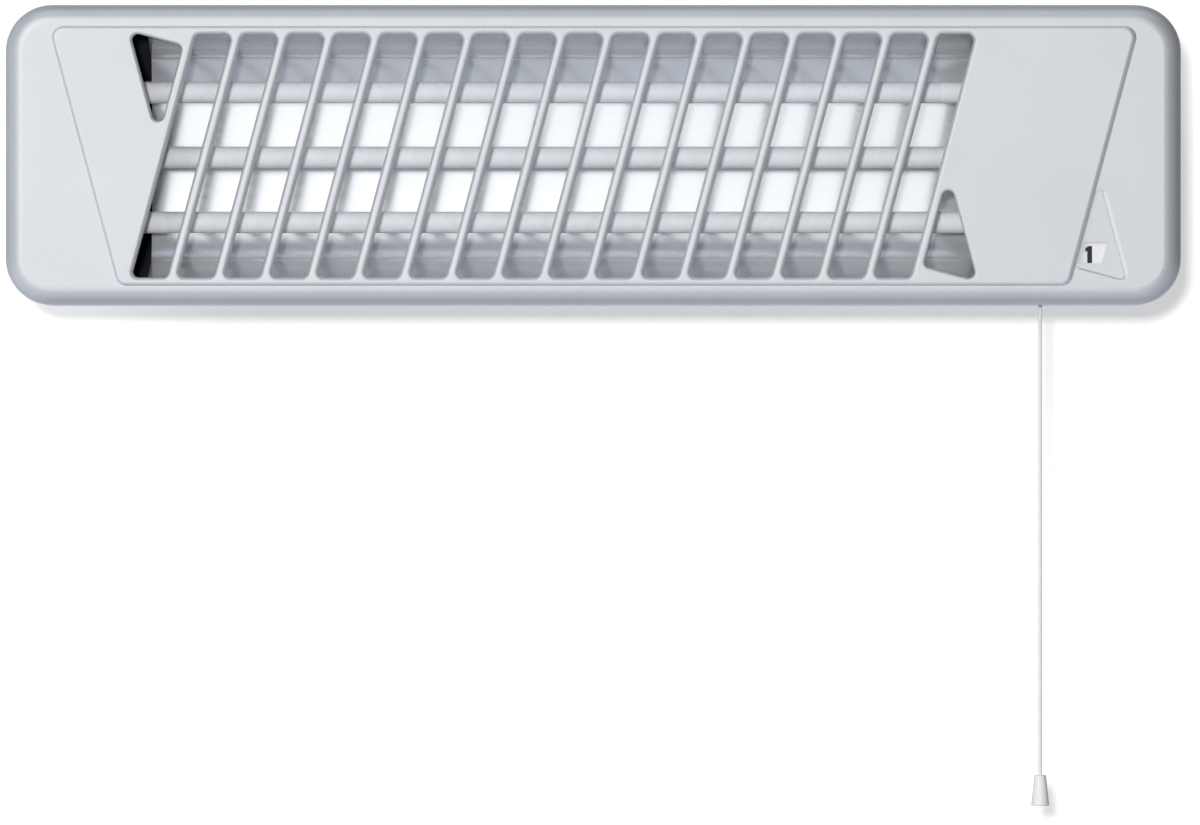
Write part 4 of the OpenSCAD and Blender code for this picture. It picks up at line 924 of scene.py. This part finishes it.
WALL_Y, FLOOR_Z, REACH = 0.0006, -1.3, 6.0
stage_sheet("wall", [(-REACH, WALL_Y, FLOOR_Z), (REACH, WALL_Y, FLOOR_Z),
                     (REACH, WALL_Y, REACH), (-REACH, WALL_Y, REACH)],
            stage_material("wall_white", (0.87, 0.86, 0.845), 0.44))
stage_sheet("floor", [(-REACH, -2 * REACH, FLOOR_Z), (REACH, -2 * REACH, FLOOR_Z),
                      (REACH, WALL_Y, FLOOR_Z), (-REACH, WALL_Y, FLOOR_Z)],
            stage_material("floor_pale", (0.62, 0.62, 0.62), 0.50))


def area_light(name, place, size, watts):
    """A lamp that looks at the middle of the head and isn't mirrored in it."""
    data = bpy.data.lights.new(name, "AREA")
    data.shape = "RECTANGLE"
    data.size, data.size_y = size
    data.energy = watts
    made = bpy.data.objects.new(name, data)
    made.location = place
    toward = Vector((0, -0.1, 0)) - Vector(place)
    made.rotation_euler = toward.to_track_quat("-Z", "Y").to_euler()
    made.visible_glossy = False
    bpy.context.scene.collection.objects.link(made)


area_light("key", (-0.22, -5.4, 0.17), (0.22, 0.2), 150)
area_light("fill", (-0.95, -1.4, 0.5), (0.8, 0.8), 6)

world = bpy.data.worlds.new("studio")
bpy.context.scene.world = world
world.use_nodes = True
sky = world.node_tree
sky.nodes.clear()


def sky_math(operation, a, b=0.0):
    node = sky.nodes.new("ShaderNodeMath")
    node.operation = operation
    feed(sky, a, node.inputs[0])
    feed(sky, b, node.inputs[1])
    return node.outputs[0]


def total(made, *terms):
    for term in terms:
        made = sky_math("ADD", made, term)
    return made


def product(made, *terms):
    for term in terms:
        made = sky_math("MULTIPLY", made, term)
    return made


def rise(angle, low, high, outs=(0.0, 1.0)):
    """Goes smoothly from 0 to 1 as an angle goes from low to high degrees."""
    return map_range(sky, angle, (math.radians(low), math.radians(high)), outs, "SMOOTHSTEP")


def fall(angle, low, high):
    """Goes smoothly from 1 to 0 as an angle goes from low to high degrees."""
    return rise(angle, low, high, (1.0, 0.0))


def background(color, strength):
    node = sky.nodes.new("ShaderNodeBackground")
    feed(sky, color, node.inputs["Color"])
    feed(sky, strength, node.inputs["Strength"])
    return node.outputs[0]


# The room is lit from in front of the wall and from the left, where metal sees a wide soft window.
# The camera sees the room white.
COOL = (0.978, 0.993, 1.02)
SHADY = (0.955, 0.985, 1.045)
COLD = (0.86, 0.96, 1.14)
way = sky.nodes.new("ShaderNodeSeparateXYZ")
sky.links.new(sky.nodes.new("ShaderNodeTexCoord").outputs["Generated"], way.inputs[0])
way_x, way_y, way_z = (way.outputs[key] for key in "XYZ")
to_left = product(way_x, -1.0)
behind = sky_math("POWER", sky_math("MAXIMUM", way_y, 0.0), 5.0)
turned = sky_math("ARCTAN2", way_x, product(way_y, -1.0))
raised = sky_math("ARCSINE", way_z)
to_back = sky_math("ARCSINE", way_y)

soft_window = product(rise(turned, -56, -4), fall(turned, -4, 14),
                      rise(raised, -30, -14), fall(raised, 20, 50))
window_level = total(1.51, product(way_z, 0.6))
floor_glow = product(rise(raised, -90, -62), fall(raised, -22, 0))
overhead = product(rise(raised, 50, 66), fall(to_back, -20, 0))
room = total(0.17, product(to_left, 0.14), product(floor_glow, 0.28), product(overhead, 0.6),
             product(behind, 0.75))
ambient = total(0.25, product(to_left, 0.21), product(behind, 1.3))

light_path = sky.nodes.new("ShaderNodeLightPath").outputs
mirrored = sky_math("MAXIMUM", light_path["Is Glossy Ray"], light_path["Is Transmission Ray"])
shiny = mix_shader(sky, soft_window, background(COLD, room), background(COOL, window_level))
lit = mix_shader(sky, mirrored, background(SHADY, ambient), shiny)
seen = mix_shader(sky, light_path["Is Camera Ray"], lit, background(WHITE, 1.0))
sky.links.new(seen, sky.nodes.new("ShaderNodeOutputWorld").inputs["Surface"])

bpy.context.scene.view_settings.view_transform = "Standard"
